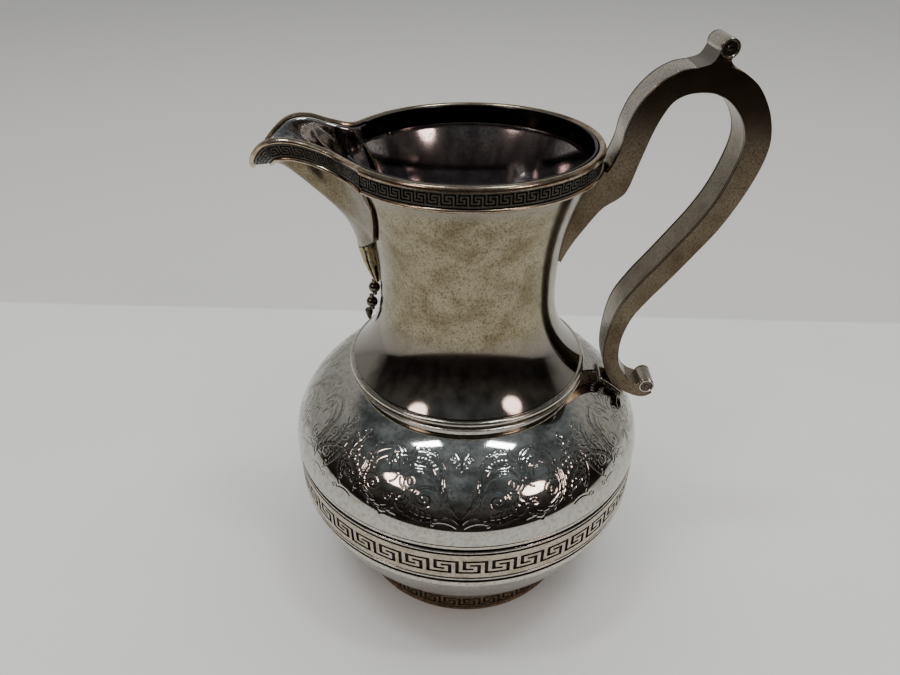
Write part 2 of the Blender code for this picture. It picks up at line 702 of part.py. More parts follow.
def build_pendant():
    loft("spout_drop", [drop_ring(k / PROFILE_STEPS) for k in range(PROFILE_STEPS + 1)], SATIN)
    height = edge_points()[-1].z - DROP_LENGTH - GAP
    link = 0.4 * BEAD_RADIUS
    collar = (BEAD_PITCH - 2 * BEAD_RADIUS - GAP) / 2
    for name in ("drop_bead_upper", "drop_bead_lower"):
        middle = height - BEAD_PITCH / 2
        ball = [(BEAD_RADIUS * math.sin(math.pi * k / 10), middle
                 + BEAD_RADIUS * math.cos(math.pi * k / 10)) for k in range(2, 9)]
        ends = [(0, middle + BEAD_RADIUS + collar), (link, middle + BEAD_RADIUS + collar)]
        feet = [(link, middle - BEAD_RADIUS - collar), (0, middle - BEAD_RADIUS - collar)]
        bead = turned(name, ends + ball + feet, POLISHED, closed=False)
        turn_coarsely(bead)
        bead.location.x -= neck_radius(middle - BEAD_RADIUS) + BEAD_RADIUS + GAP
        height -= BEAD_PITCH
    tip = [(0, height), (0.7 * BEAD_RADIUS, height), (0.6 * BEAD_RADIUS, height - TIP_LENGTH / 3),
           (0, height - TIP_LENGTH)]
    spike = turned("drop_tip", tip, POLISHED, closed=False)
    turn_coarsely(spike)
    spike.location.x -= neck_radius(height - TIP_LENGTH) + GAP + 0.5 * BEAD_RADIUS


# ---------------------------------------------------------------- handle
def handle_half_width(height):
    """Half the handle's width: it narrows below the middle, towards its foot."""
    narrow_from = HANDLE_BASE + HANDLE_NARROWING * (HANDLE_TOP - HANDLE_BASE)
    share = min(max((height - HANDLE_BASE) / (narrow_from - HANDLE_BASE), 0), 1)
    share = share * share * (3 - 2 * share)
    return HANDLE_END_HALF_WIDTH + (HANDLE_HALF_WIDTH - HANDLE_END_HALF_WIDTH) * share


def seat_reach(height):
    """How far out the handle's foot starts so that it clears the seat on the shoulder."""
    return shoulder_radius(height) + SEAT_THICKNESS + 5 * GAP


def foot_swing(up):
    """How far the handle is carried in or out at a height, so that its foot stays on the seat."""
    share = min(max((FOOT_SWING_TO - up) / (FOOT_SWING_TO - FOOT_SWING_FROM), 0), 1)
    foot = RIM_RADIUS + (HANDLE_REACH - RIM_RADIUS) * LOWER_SCROLL_PLACE
    swing = seat_reach(HANDLE_BASE) + HANDLE_FOOT_OUT - foot
    return swing * share * share * (3 - 2 * share)


def handle_place(across, up):
    return Vector((RIM_RADIUS + (HANDLE_REACH - RIM_RADIUS) * across + foot_swing(up), 0,
                   HANDLE_BASE + (HANDLE_TOP - HANDLE_BASE) * up))


def handle_pairs():
    """The outer and inner edges from above the rim down to above the foot."""
    outer = [handle_place(a, b) for a, b, _, _ in HANDLE_EDGES]
    inner = [handle_place(a, b) for _, _, a, b in HANDLE_EDGES]
    return outer, inner


def beside_neck(height):
    """How far out a handle plate starts so that it just clears the neck."""
    inside = HANDLE_HALF_WIDTH - HANDLE_PLATE - GAP
    return math.sqrt((neck_radius(height) + 2 * GAP) ** 2 - inside ** 2)


def root_pairs():
    """The bracket below the rim: the neck's side, and the curve under the handle."""
    outer, inner = handle_pairs()
    low = NECK_TOP - BRACKET_DEPTH
    pairs = []
    for share, reach in BRACKET_EDGE:
        height = low + (NECK_TOP - low) * share
        pairs.append((Vector((beside_neck(height), 0, height)),
                      Vector((beside_neck(height) + reach, 0, height - BRACKET_DROP * (1 + 3 * share)))))
    height = NECK_TOP - 2 * GAP
    last = inner[0].lerp(pairs[-1][1], 0.42)
    pairs.append((Vector((beside_neck(height), 0, height)),
                  last + Vector((BRACKET_BLEND, 0, -BRACKET_BLEND))))
    return pairs


def scroll_centres():
    top = handle_place(TOP_SCROLL_PLACE, 1) + Vector((0, 0, TOP_SCROLL_RADIUS + TOP_SCROLL_STEM))
    lower = handle_place(LOWER_SCROLL_PLACE, 0) + Vector((0, 0, LOWER_SCROLL_STEM))
    return top, lower


def foot_pairs():
    """The toe of the handle, which lies on the seat and curls under the lower scroll."""
    _, scroll = scroll_centres()
    clear = LOWER_SCROLL_RADIUS + 3 * GAP
    pairs = []
    for upper_angle, lower_angle, depth in TOE_TURNS:
        upper, lower = (Vector((math.cos(turn), 0, math.sin(turn)))
                        for turn in (math.radians(upper_angle), math.radians(lower_angle)))
        pairs.append((scroll + upper * clear, scroll + lower * (clear + depth)))
    heel = []
    for across, up, share in HANDLE_HEEL:
        level = BAND_TOP + SHOULDER_HEIGHT * share
        heel.append((handle_place(across, up), Vector((seat_reach(level), 0, level))))
    return heel + pairs


def all_pairs():
    outer, inner = handle_pairs()
    pairs = root_pairs() + list(zip(outer, inner)) + foot_pairs()
    return [pair[0] for pair in pairs], [pair[1] for pair in pairs]


def build_plates():
    outer, inner = all_pairs()
    last = len(outer) - 1
    outer_run, inner_run = (smooth_run(line, 0, last, 2) for line in (outer, inner))
    for name, side in (("handle_plate_near", -1), ("handle_plate_far", 1)):
        rows = [[Vector((p.x, side * (handle_half_width(p.z) - HANDLE_PLATE / 2), p.z))
                 for p in line] for line in (outer_run, inner_run)]
        solidify(sheet(name, rows, HANDLE_METAL), HANDLE_PLATE, 0)


def strip(name, run, sheet_side, material=HANDLE_METAL):
    """A strip between the plates along one edge; sheet_side says which way it thickens."""
    rows = [[Vector((p.x, side * (handle_half_width(p.z) - HANDLE_PLATE - GAP), p.z))
             for p in run] for side in (-1, 1)]
    return solidify(sheet(name, rows, material), HANDLE_PLATE, -sheet_side)


def build_handle():
    build_plates()
    outer, inner = all_pairs()
    root = len(root_pairs())
    front = smooth_run(outer, root + FRONT_STRIP_PAIRS[0], root + FRONT_STRIP_PAIRS[1], 2)
    back = smooth_run(outer, root + BACK_STRIP_PAIRS[0], root + BACK_STRIP_PAIRS[1] + 2, 2)
    under = smooth_run(inner, 1, root + len(HANDLE_EDGES) - 0.5, 2)
    strip("handle_front_strip", front, -1)
    strip("handle_back_strip", back, -1)
    strip("handle_inner_strip", under, 1)
    top, lower = scroll_centres()
    build_scroll("top_scroll", top, TOP_SCROLL_RADIUS)
    build_scroll("lower_scroll", lower, LOWER_SCROLL_RADIUS)
    build_seat()


def build_scroll(name, centre, radius):
    """A rolled end across the handle, with a cap in each end."""
    half = handle_half_width(centre.z)
    roll_half = half - CAP_THICKNESS - GAP
    pieces = [(name, 0, roll_half, radius, HANDLE_METAL)]
    for end, side in (("near", -1), ("far", 1)):
        pieces.append((f"{name}_cap_{end}", side * (half - CAP_THICKNESS / 2),
                       CAP_THICKNESS / 2, radius, HANDLE_METAL))
    for label, across, half_length, size, material in pieces:
        bm = bmesh.new()
        bmesh.ops.create_cone(bm, cap_ends=True, segments=24, radius1=size, radius2=size,
                              depth=2 * half_length)
        mesh = bpy.data.meshes.new(label)
        bm.to_mesh(mesh)
        bm.free()
        obj = add_object(label, mesh, material)
        obj.rotation_euler.x = math.pi / 2
        obj.location += centre + Vector((0, across, 0))


def build_seat():
    """The thin seat between the shoulder and the handle's foot."""
    half = HANDLE_END_HALF_WIDTH
    rows = []
    low, high = SEAT_SPAN
    for k in range(PROFILE_STEPS):
        share = low + (high - low) * k / (PROFILE_STEPS - 1)
        height = BAND_TOP + SHOULDER_HEIGHT * share
        reach = shoulder_radius(height) + 2 * GAP
        rows.append([Vector((math.sqrt(reach ** 2 - side ** 2), side, height))
                     for side in (-half, -half / 2, 0, half / 2, half)])
    solidify(sheet("handle_seat", rows, BRIGHT), SEAT_THICKNESS, -1)


build_foot()
build_belly()
build_belly_bands()
build_shoulder()
build_neck_and_rim()
build_spout()
build_pendant()
build_handle()
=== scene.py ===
"""A silver water pitcher: turned foot, belly and neck, an applied spout and a box handle.

Metres, +Z up, standing on z = 0, the spout towards -X and the handle towards +X.
"""
import math

import bmesh
import bpy
from mathutils import Matrix, Vector, kdtree


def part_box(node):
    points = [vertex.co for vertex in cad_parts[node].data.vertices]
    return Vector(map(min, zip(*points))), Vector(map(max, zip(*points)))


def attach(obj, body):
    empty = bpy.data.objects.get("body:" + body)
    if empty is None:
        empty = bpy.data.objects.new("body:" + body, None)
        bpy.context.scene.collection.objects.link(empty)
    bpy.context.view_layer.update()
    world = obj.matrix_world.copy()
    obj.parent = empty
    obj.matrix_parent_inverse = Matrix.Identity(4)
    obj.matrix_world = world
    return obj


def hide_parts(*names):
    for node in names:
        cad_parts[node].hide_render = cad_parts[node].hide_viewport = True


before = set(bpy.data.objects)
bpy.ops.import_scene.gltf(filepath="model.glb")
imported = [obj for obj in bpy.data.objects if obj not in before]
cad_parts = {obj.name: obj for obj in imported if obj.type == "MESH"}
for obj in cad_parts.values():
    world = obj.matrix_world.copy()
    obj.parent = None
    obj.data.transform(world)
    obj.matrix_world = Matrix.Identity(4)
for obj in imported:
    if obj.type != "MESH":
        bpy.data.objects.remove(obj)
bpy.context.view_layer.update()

# ------------------------------------------------------------------ Foot
# A drawn silver ring soldered under the bowl: a wire that stands on the table, a key-pattern strip and
# a small collar. It is the least polished part, so it has gone dark brown all over.
FOOT_RADIUS = 0.0670
FOOT_DEPTH = 0.0022
FOOT_KEYS = 36
FOOT_STRIP_DEPTH = 0.0011
FOOT_STRIP = 0.0008
FOOT_RELIEF = 0.00045
# Where the pattern lies between the strip's lower and upper edge.
FOOT_PATTERN = (0.14, 0.86)
TURN_STEPS = 288
# Points nearer than this are one point.
WELD = 0.000002
# The colour sockets of a Mix node.
MIX_A, MIX_B, MIX_RESULT = 6, 7, 2


def linear(code):
    """An sRGB hex colour as linear RGBA."""
    parts = [int(code[k:k + 2], 16) / 255 for k in (1, 3, 5)]
    return [c / 12.92 if c <= 0.04045 else ((c + 0.055) / 1.055) ** 2.4 for c in parts] + [1]


def per_mm(size):
    """The pattern scale that gives a feature of this many millimetres."""
    return 1000 / size


def add(tree, kind, values=None, links=None, **settings):
    """Adds a node with its settings, its sockets' values and its links."""
    node = tree.nodes.new(kind)
    for name, value in settings.items():
        setattr(node, name, value)
    for socket, value in (values or {}).items():
        node.inputs[socket].default_value = value
    for socket, source in (links or {}).items():
        tree.links.new(source, node.inputs[socket])
    return node


PIT_SPACING_MM = 3.1
PIT_COLOUR = "#1b1712"
CUT_COLOUR = "#26231f"
RUBBED_COLOUR = "#8d8880"
RUBBED_ROUGHNESS = 0.085


def silver(name, clean, toned, tarnish, roughness, cloud, speck, amount, grain=(1, 1, 1),
           pits=0.0, bump=0.00002, bare=(), chased=False):
    """Silver with a film of tarnish: clean metal, toned clouds, and specks or pits of tarnish.

    cloud and speck are feature sizes in millimetres; amount is how far the toning spreads. bare holds
    pairs of heights: the film wears off from the first to the second. Chased cuts hold dark tarnish.
    """
    material = bpy.data.materials.new(name)
    material.use_nodes = True
    tree = material.node_tree
    shader = tree.nodes["Principled BSDF"]
    shader.inputs["Metallic"].default_value = 1
    place = add(tree, "ShaderNodeTexCoord").outputs["Object"]
    stretched = add(tree, "ShaderNodeMapping", {"Scale": grain}, {"Vector": place}).outputs[0]
    clouds = add(tree, "ShaderNodeTexNoise", {"Scale": per_mm(cloud), "Detail": 6, "Roughness": 0.62},
                 {"Vector": place}).outputs["Fac"]
    specks = add(tree, "ShaderNodeTexNoise", {"Scale": per_mm(speck), "Detail": 5, "Roughness": 0.7},
                 {"Vector": stretched}).outputs["Fac"]
    spread = add(tree, "ShaderNodeMapRange", {"From Min": 0.62 - amount,
                                              "From Max": 0.78 - amount * 0.5},
                 {"Value": clouds}).outputs[0]
    dotted = add(tree, "ShaderNodeMapRange", {"From Min": 0.46, "From Max": 0.72},
                 {"Value": specks}).outputs[0]
    first = add(tree, "ShaderNodeMix", {MIX_A: linear(clean), MIX_B: linear(toned)}, {0: spread},
                data_type="RGBA").outputs[MIX_RESULT]
    second = add(tree, "ShaderNodeMix", {MIX_B: linear(tarnish)}, {0: dotted, MIX_A: first},
                 data_type="RGBA").outputs[MIX_RESULT]
    if pits:
        spots = add(tree, "ShaderNodeTexVoronoi", {"Scale": per_mm(PIT_SPACING_MM), "Randomness": 1},
                    {"Vector": place}).outputs["Distance"]
        inside = add(tree, "ShaderNodeMapRange", {"From Min": 0.10 * pits, "From Max": 0.05 * pits},
                     {"Value": spots}).outputs[0]
        second = add(tree, "ShaderNodeMix", {MIX_B: linear(PIT_COLOUR)}, {0: inside, MIX_A: second},
                     data_type="RGBA").outputs[MIX_RESULT]
    low, high = roughness
    rough = add(tree, "ShaderNodeMapRange", {"From Min": 0.3, "From Max": 0.75, "To Min": low,
                                             "To Max": high}, {"Value": specks}).outputs[0]
    level = add(tree, "ShaderNodeSeparateXYZ", None, {0: place}).outputs["Z"]
    for filmed, worn in bare:
        polish = add(tree, "ShaderNodeMapRange", {"From Min": filmed, "From Max": worn},
                     {"Value": level}).outputs[0]
        second = add(tree, "ShaderNodeMix", {MIX_B: linear(RUBBED_COLOUR)}, {0: polish, MIX_A: second},
                     data_type="RGBA").outputs[MIX_RESULT]
        rough = add(tree, "ShaderNodeMapRange", {"To Max": RUBBED_ROUGHNESS},
                    {"Value": polish, "To Min": rough}).outputs[0]
    if chased:
        depth = add(tree, "ShaderNodeAttribute", attribute_name="cut").outputs["Fac"]
        dark = add(tree, "ShaderNodeMapRange", {"From Min": 0.35, "From Max": 1.0, "To Max": 0.8},
                   {"Value": depth}).outputs[0]
        second = add(tree, "ShaderNodeMix", {MIX_B: linear(CUT_COLOUR)}, {0: dark, MIX_A: second},
                     data_type="RGBA").outputs[MIX_RESULT]
    tree.links.new(second, shader.inputs["Base Color"])
    tree.links.new(rough, shader.inputs["Roughness"])
    raised = add(tree, "ShaderNodeBump", {"Strength": 0.5, "Distance": bump}, {"Height": specks})
    tree.links.new(raised.outputs[0], shader.inputs["Normal"])
    return material


# Rarely cleaned sterling: thick sulphide film, brown with duller, lighter rubbed patches.
brown_tarnish = silver("brown_tarnish", "#8d7860", "#5f4d3c", "#362b21", (0.30, 0.5), 9, 1.6, 0.12)
# Sulphide left in the sunk ground of a pattern: close to black.
black_ground = silver("black_ground", "#1d1b18", "#14120f", "#0c0b09", (0.35, 0.6), 6, 0.8, 0.1)

belly_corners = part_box("belly_wall")
# The upright line that foot, belly and neck are turned about.
AXIS = Vector(((belly_corners[0].x + belly_corners[1].x) / 2, 0, 0))


def levels(node):
    """The heights of a plain solid's bottom and top."""
    return [corner.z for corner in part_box(node)]


def finish_piece(name, bm, materials, nodes, sharp=32):
    """Makes the mesh an object that rides with the pitcher and stands for its plain solids."""
    mesh = bpy.data.meshes.new(name)
    bm.to_mesh(mesh)
    bm.free()
    for material in materials:
        mesh.materials.append(material)
    mesh.shade_smooth()
    mesh.set_sharp_from_angle(angle=math.radians(sharp))
    piece = bpy.data.objects.new(name, mesh)
    bpy.context.scene.collection.objects.link(piece)
    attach(piece, "root")
    if nodes:
        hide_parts(*nodes)
    return piece


def spun(profile, closed=True, steps=TURN_STEPS, centre=AXIS):
    """Spins a profile of (radius, height) about an upright axis."""
    bm = bmesh.new()
    points = [bm.verts.new((radius, 0, height)) for radius, height in profile]
    ends = points[1:] + points[:1] if closed else points[1:]
    edges = [bm.edges.new(pair) for pair in zip(points, ends)]
    bmesh.ops.spin(bm, geom=points + edges, cent=(0, 0, 0), axis=(0, 0, 1), angle=2 * math.pi,
                   steps=steps, use_merge=True, use_duplicate=False)
    bmesh.ops.remove_doubles(bm, verts=bm.verts, dist=WELD)
    bmesh.ops.recalc_face_normals(bm, faces=bm.faces)
    bmesh.ops.translate(bm, vec=centre, verts=bm.verts)
    return bm


def half_round(inner, outer, low, high, land=0.0, steps=9):
    """A closed section with a round face, and a sunk land of that width above and below it."""
    middle, half = (low + high) / 2, (high - low) / 2 - land
    section = [(inner, high)]
    if land:
        section.append((inner + (outer - inner) * 0.25, high))
    for k in range(steps + 1):
        angle = math.pi / 2 - math.pi * k / steps
        swell = math.cos(angle) ** 0.8 if abs(math.cos(angle)) > 1e-6 else 0
        section.append((inner + (outer - inner) * (0.25 + 0.75 * swell),
                        middle + half * math.sin(angle)))
    if land:
        section.append((inner + (outer - inner) * 0.25, low))
    section.append((inner, low))
    return section


def grooved_reed(inner, outer, low, high, low_gap, high_gap, steps=10):
    """A closed section: a round reed with a sunk groove of its own width below and above it."""
    sunk = inner + (outer - inner) * 0.2
    middle, half = (low + low_gap + high - high_gap) / 2, (high - high_gap - low - low_gap) / 2
    section = [(inner, high), (sunk, high)]
    for k in range(steps + 1):
        angle = math.pi / 2 - math.pi * k / steps
        section.append((sunk + (outer - sunk) * max(math.cos(angle), 0) ** 0.6,
                        middle + half * math.sin(angle)))
    return section + [(sunk, low), (inner, low)]


def blacken_grooves(bm, radius):
    """Gives every face nearer the axis than this radius the second material."""
    for face in bm.faces:
        if (face.calc_center_median() - AXIS).xy.length < radius:
            face.material_index = 1


foot_wire_low, foot_wire_high = levels("foot_wire")
foot_inner = FOOT_RADIUS - FOOT_DEPTH
chamfer = (foot_wire_high - foot_wire_low) / 4
wire = [(foot_inner, foot_wire_high), (FOOT_RADIUS - 2 * chamfer, foot_wire_high)]
wire += [(FOOT_RADIUS - chamfer + chamfer * math.sin(math.pi * k / 8),
          foot_wire_high / 2 + (foot_wire_high / 2 - chamfer * 0.2) * math.cos(math.pi * k / 8))
         for k in range(9)]
wire += [(FOOT_RADIUS - chamfer, foot_wire_low), (foot_inner, foot_wire_low)]
finish_piece("foot_standing_wire", spun(wire), [brown_tarnish], ["foot_wire"])

collar_low, collar_high = levels("foot_collar")
finish_piece("foot_top_collar", spun(half_round(foot_inner, FOOT_RADIUS, collar_low, collar_high)),
             [brown_tarnish], ["foot_collar"])

# One unit of the key pattern: # is a raised bar and a dot is the sunk ground between the bars.
KEY_UNIT = ("#.......",
            "#.#####.",
            "#.#...#.",
            "#.###.#.",
            "#...#.#.",
            "#####.#.",
            "......#.")


def only_verts(geometry):
    return [item for item in geometry if isinstance(item, bmesh.types.BMVert)]


def key_strip(units, pattern_low, pattern_high, relief, place, closed=False):
    """A strip with raised keys: a flat grid, its bars pushed out, then laid on the piece.

    place(turn, share, height) gives a point, with turn 0 to 1 along the strip, share 0 at its lower
    edge and 1 at its upper, and height from its ground. The pattern lies between the two shares.
    """
    unit_columns, rows = len(KEY_UNIT[0]), len(KEY_UNIT)
    columns = units * unit_columns
    bm = bmesh.new()
    bmesh.ops.create_grid(bm, x_segments=columns, y_segments=rows + 2, size=0.5)
    for vert in bm.verts:
        row = round((vert.co.y + 0.5) * (rows + 2))
        inside = pattern_low + (pattern_high - pattern_low) * (row - 1) / rows
        vert.co = Vector((vert.co.x + 0.5, 0 if row == 0 else 1 if row == rows + 2 else inside, 0))
    raised = []
    for face in bm.faces:
        middle = face.calc_center_median()
        column = int(middle.x * columns) % unit_columns
        face.material_index = 1
        if middle.y < pattern_low or middle.y > pattern_high:
            raised.append(face)
            continue
        row = int((pattern_high - middle.y) / (pattern_high - pattern_low) * rows)
        if KEY_UNIT[row][column] == "#":
            raised.append(face)
    for face in raised:
        face.material_index = 0
    lifted = bmesh.ops.extrude_face_region(bm, geom=raised)["geom"]
    for vert in only_verts(lifted):
        vert.co.z = 1
    bmesh.ops.delete(bm, geom=raised, context="FACES_KEEP_BOUNDARY")
    for face in bm.faces:
        heights = [vert.co.z for vert in face.verts]
        if max(heights) > min(heights):
            face.material_index = 1
    for vert in bm.verts:
        vert.co = place(vert.co.x, vert.co.y, vert.co.z * relief)
    if closed:
        bmesh.ops.remove_doubles(bm, verts=bm.verts, dist=2 * WELD)
    return bm


def about_axis(angle, radius, height):
    return AXIS + Vector((radius * math.cos(angle), radius * math.sin(angle), height))


def round_band(ground, low, high, start=0.0, sweep=2 * math.pi):
    """Lays a strip round the axis on a ground of this radius, from an angle and over a sweep."""
    def place(turn, share, height):
        return about_axis(start + sweep * turn, ground + height, low + (high - low) * share)
    return place


def give_thickness(piece, thickness, offset=-1, back_material=0):
    """Gives an open sheet its thickness: inwards at -1, outwards at 1, both ways at 0."""
    sheet = piece.modifiers.new("Sheet", "SOLIDIFY")
    sheet.thickness, sheet.offset, sheet.material_offset = thickness, offset, back_material
    return piece


band_low, band_high = levels("foot_key_band")
foot_ground = FOOT_RADIUS - FOOT_STRIP_DEPTH
keys = key_strip(FOOT_KEYS, *FOOT_PATTERN, FOOT_RELIEF, round_band(foot_ground, band_low, band_high),
                 closed=True)
# The worn foot's ground is the same brown as its bars, only deeper.
brown_ground = silver("brown_ground", "#3a2f26", "#2b221b", "#191410", (0.4, 0.6), 7, 1.2, 0.1)
give_thickness(finish_piece("foot_key_strip", keys, [brown_tarnish, brown_ground],
                            ["foot_key_band"]), FOOT_STRIP)

# ------------------------------------------------------------------ Bowl and belly wall
# The lower body, raised from one sheet and turned smooth, with the plain wall behind the key band.
# Polished and slightly worn: soft, with fine cleaning scratches and a faint warm film.
BODY_RADIUS = 0.0965
BAND_DEPTH = 0.0011
WALL = 0.0012
BOWL_FULLNESS = 0.0900
BOWL_STEEPNESS = 0.86
FLOOR_SAG = 0.0030

polished_sterling = silver("polished_sterling", "#cfccc5", "#b3ac9c", "#a39c8d", (0.07, 0.16), 22, 2.4,
                           0.10, bump=0.000006)
bowl_low, bowl_high = levels("bowl")
bowl_base = bowl_low + FLOOR_SAG


def inner_side(outline, thickness):
    """The outline moved inwards by the sheet's thickness, in reverse order."""
    moved = []
    for k, (radius, height) in enumerate(outline):
        before, after = outline[max(k - 1, 0)], outline[min(k + 1, len(outline) - 1)]
        along = Vector((after[0] - before[0], after[1] - before[1])).normalized()
        moved.append((max(radius + along.y * thickness, 0), height - along.x * thickness))
    return moved[::-1]


def bowl_point(share):
    top, foot = BODY_RADIUS - BAND_DEPTH, FOOT_RADIUS - FOOT_DEPTH / 2
    radius = (top * (1 - share) ** 2 + 2 * BOWL_FULLNESS * share * (1 - share) + foot * share ** 2)
    fall = BOWL_STEEPNESS * share + (1 - BOWL_STEEPNESS) * share ** 2
    return radius, bowl_high - (bowl_high - bowl_base) * fall


outside = [bowl_point(k / 32) for k in range(33)]
outside += [(foot_inner - 0.0006, bowl_base), (0.9 * foot_inner, bowl_base - FLOOR_SAG / 2),
            (0.5 * foot_inner, bowl_low), (0, bowl_low)]
bowl = spun(outside + inner_side(outside, WALL), closed=False)
satin_sterling = silver("satin_sterling", "#96928a", "#7f796a", "#6b6455", (0.14, 0.26), 18, 1.8, 0.14,
                        bump=0.00001)
finish_piece("bowl_shell", bowl, [satin_sterling], ["bowl"])

wall_low, wall_high = levels("belly_wall")
wall_outer = BODY_RADIUS - BAND_DEPTH - 0.0003
plain_wall = [(wall_outer, wall_high), (wall_outer, wall_low), (wall_outer - WALL, wall_low),
              (wall_outer - WALL, wall_high)]
finish_piece("belly_lining", spun(plain_wall), [polished_sterling], ["belly_wall"])

# ------------------------------------------------------------------ Belly bands
# Drawn and rolled strips soldered round the widest part: a reed and a fine fillet on each side of a
# broad key pattern. Rubbing keeps the high bars bright, and black sulphide stays in every groove.
BODY_KEYS = 43
KEY_START = math.radians(1.87)
KEY_LOW, KEY_HIGH = 0.0030, 0.0038
KEY_RELIEF = 0.0006
KEY_SHEET = 0.0004
# Each wire's node and how much of its height is a sunk groove below and above its reed.
BELLY_WIRES = (("lower_reed", 0.0002, 0.0003), ("lower_fillet", 0.0007, 0.0007),
               ("upper_fillet", 0.0006, 0.0006), ("upper_reed", 0.0008, 0.0003))

rubbed_bars = silver("rubbed_bars", "#c3b9a7", "#a2957f", "#7f725f", (0.22, 0.36), 8, 1.1, 0.16)
rubbed_reed = silver("rubbed_reed", "#cdc8bc", "#a89f8e", "#8a8070", (0.12, 0.24), 12, 1.4, 0.10)
band_inner = BODY_RADIUS - BAND_DEPTH
for node, low_gap, high_gap in BELLY_WIRES:
    low, high = levels(node)
    ring = spun(grooved_reed(band_inner, BODY_RADIUS, low, high, low_gap, high_gap))
    blacken_grooves(ring, band_inner + BAND_DEPTH * 0.42)
    finish_piece(node + "_wire", ring, [rubbed_reed, black_ground], [node])

low, high = levels("key_band")
keys = key_strip(BODY_KEYS, KEY_LOW / (high - low), 1 - KEY_HIGH / (high - low), KEY_RELIEF,
                 round_band(BODY_RADIUS - KEY_RELIEF, low, high, KEY_START), closed=True)
give_thickness(finish_piece("belly_key_strip", keys, [rubbed_bars, black_ground],
                            ["key_band"]), KEY_SHEET)

# ------------------------------------------------------------------ Shoulder
# A domed sheet between the belly and the neck, chased by hand from outside with C-scrolls, curled
# leaves and beads. Each stroke is a V-shaped furrow, steeper on one side, so it flashes light and dark.
NECK_BASE_RADIUS = 0.0608
SHOULDER_CENTRE = 0.0365
SHOULDER_POWER = 1.8
COLLAR_HEIGHT = 0.0035
FRIEZE_LOW = 0.1052
CHART_RADIUS = 85.0
MOTIFS = 4
FRIEZE_SQUASH = 1.15
STROKE_DEPTH = 0.0002
STROKE_WIDTH = 0.40
BEAD_WIDTH = 0.50
SAMPLE_SPACING = 0.25
SKINS = 4
SKIN_COLUMNS = 560
SKIN_ROW = 0.00034
SKIN_DEPTH = 0.0004

shoulder_low, shoulder_high = levels("shoulder")
shoulder_height = shoulder_high - COLLAR_HEIGHT - shoulder_low
shoulder_reach = BODY_RADIUS - SHOULDER_CENTRE
collar_share = (NECK_BASE_RADIUS + 0.0003 - SHOULDER_CENTRE) / shoulder_reach
shoulder_full = shoulder_height / (1 - collar_share ** SHOULDER_POWER) ** (1 / SHOULDER_POWER)


def shoulder_point(share):
    """From the belly band up to the collar."""
    end = math.asin((shoulder_height / shoulder_full) ** (SHOULDER_POWER / 2))
    angle = end * share
    return (SHOULDER_CENTRE + shoulder_reach * math.cos(angle) ** (2 / SHOULDER_POWER),
            shoulder_low + shoulder_full * math.sin(angle) ** (2 / SHOULDER_POWER))


def bow(x0, y0, x1, y1, bulge, steps=26):
    """A bowed stroke between two points; bulge is how far its middle lies to the left."""
    across = Vector((y0 - y1, x1 - x0)).normalized() * bulge * 2
    middle = Vector(((x0 + x1) / 2, (y0 + y1) / 2)) + across
    start, end = Vector((x0, y0)), Vector((x1, y1))
    return [start * (1 - t) ** 2 + middle * 2 * t * (1 - t) + end * t ** 2
            for t in (k / steps for k in range(steps + 1))]


def curl(x, y, outer, inner, start, turns, squash=1.0):
    """A spiral stroke round a point, from its outer radius in to its eye; start is in degrees."""
    steps = max(int(abs(turns) * outer * 10), 12)
    points = []
    for k in range(steps + 1):
        t = k / steps
        angle = math.radians(start) + 2 * math.pi * turns * t
        radius = outer * (inner / outer) ** t
        points.append(Vector((x + radius * math.cos(angle), y + radius * squash * math.sin(angle))))
    return points


def fan(stem, count, first, last, length, lean, bulge):
    """Leaf lobes off a stem: strokes from points along it, each leaning and bowed the same way."""
    strokes = []
    for k in range(count):
        t = first + (last - first) * k / max(count - 1, 1)
        index = min(int(t * (len(stem) - 1)), len(stem) - 2)
        root = stem[index]
        along = (stem[index + 1] - stem[index]).normalized()
        turn = Matrix.Rotation(math.radians(lean), 2)
        reach = length * (1 - 0.35 * abs(2 * k / max(count - 1, 1) - 1))
        tip = root + turn @ along * reach
        strokes.append(bow(root.x, root.y, tip.x, tip.y, bulge * reach))
    return strokes


def echoes(stroke, spaces, first, last, trim=0.06):
    """Finer strokes beside part of a stroke, each further off and a little shorter: shading lines."""
    strokes = []
    for k, space in enumerate(spaces):
        low = int((first + trim * k) * (len(stroke) - 1))
        high = int((last - trim * k) * (len(stroke) - 1))
        line = []
        for before, after in zip(stroke[low:high], stroke[low + 1:high + 1]):
            if (after - before).length > 0:
                along = (after - before).normalized()
                line.append(before + Vector((-along.y, along.x)) * space)
        strokes.append(line)
    return strokes


# Half of one motif, in millimetres from its middle line and up from the frieze's lower edge. The other
# half is its mirror image, and the motif is repeated round the shoulder.
arch = [*bow(0.8, 5.5, 8.5, 30.0, -2.6), *bow(8.6, 30.2, 25.0, 38.2, 3.4)]
inner_arch = [*bow(2.6, 9.0, 10.2, 27.6, -1.9), *bow(10.3, 27.8, 24.5, 34.6, 3.0)]
great_scroll = [*bow(30.5, 27.0, 38.5, 39.0, 3.6), *bow(38.7, 39.0, 50.6, 22.0, 5.2),
                *bow(50.6, 21.6, 38.0, 1.6, 5.0), *bow(37.8, 1.6, 30.0, 9.4, 2.7),
                *curl(33.6, 9.6, 3.7, 0.7, 180, -1.2)]
leaf_stem = [*bow(51.5, 3.4, 60.5, 18.0, 2.4), *bow(60.6, 18.2, 55.6, 35.0, -3.0)]
low_stem = bow(10.0, 3.2, 30.5, 13.0, -4.2)
side_stem = bow(60.0, 3.0, 66.7, 24.0, -2.0)
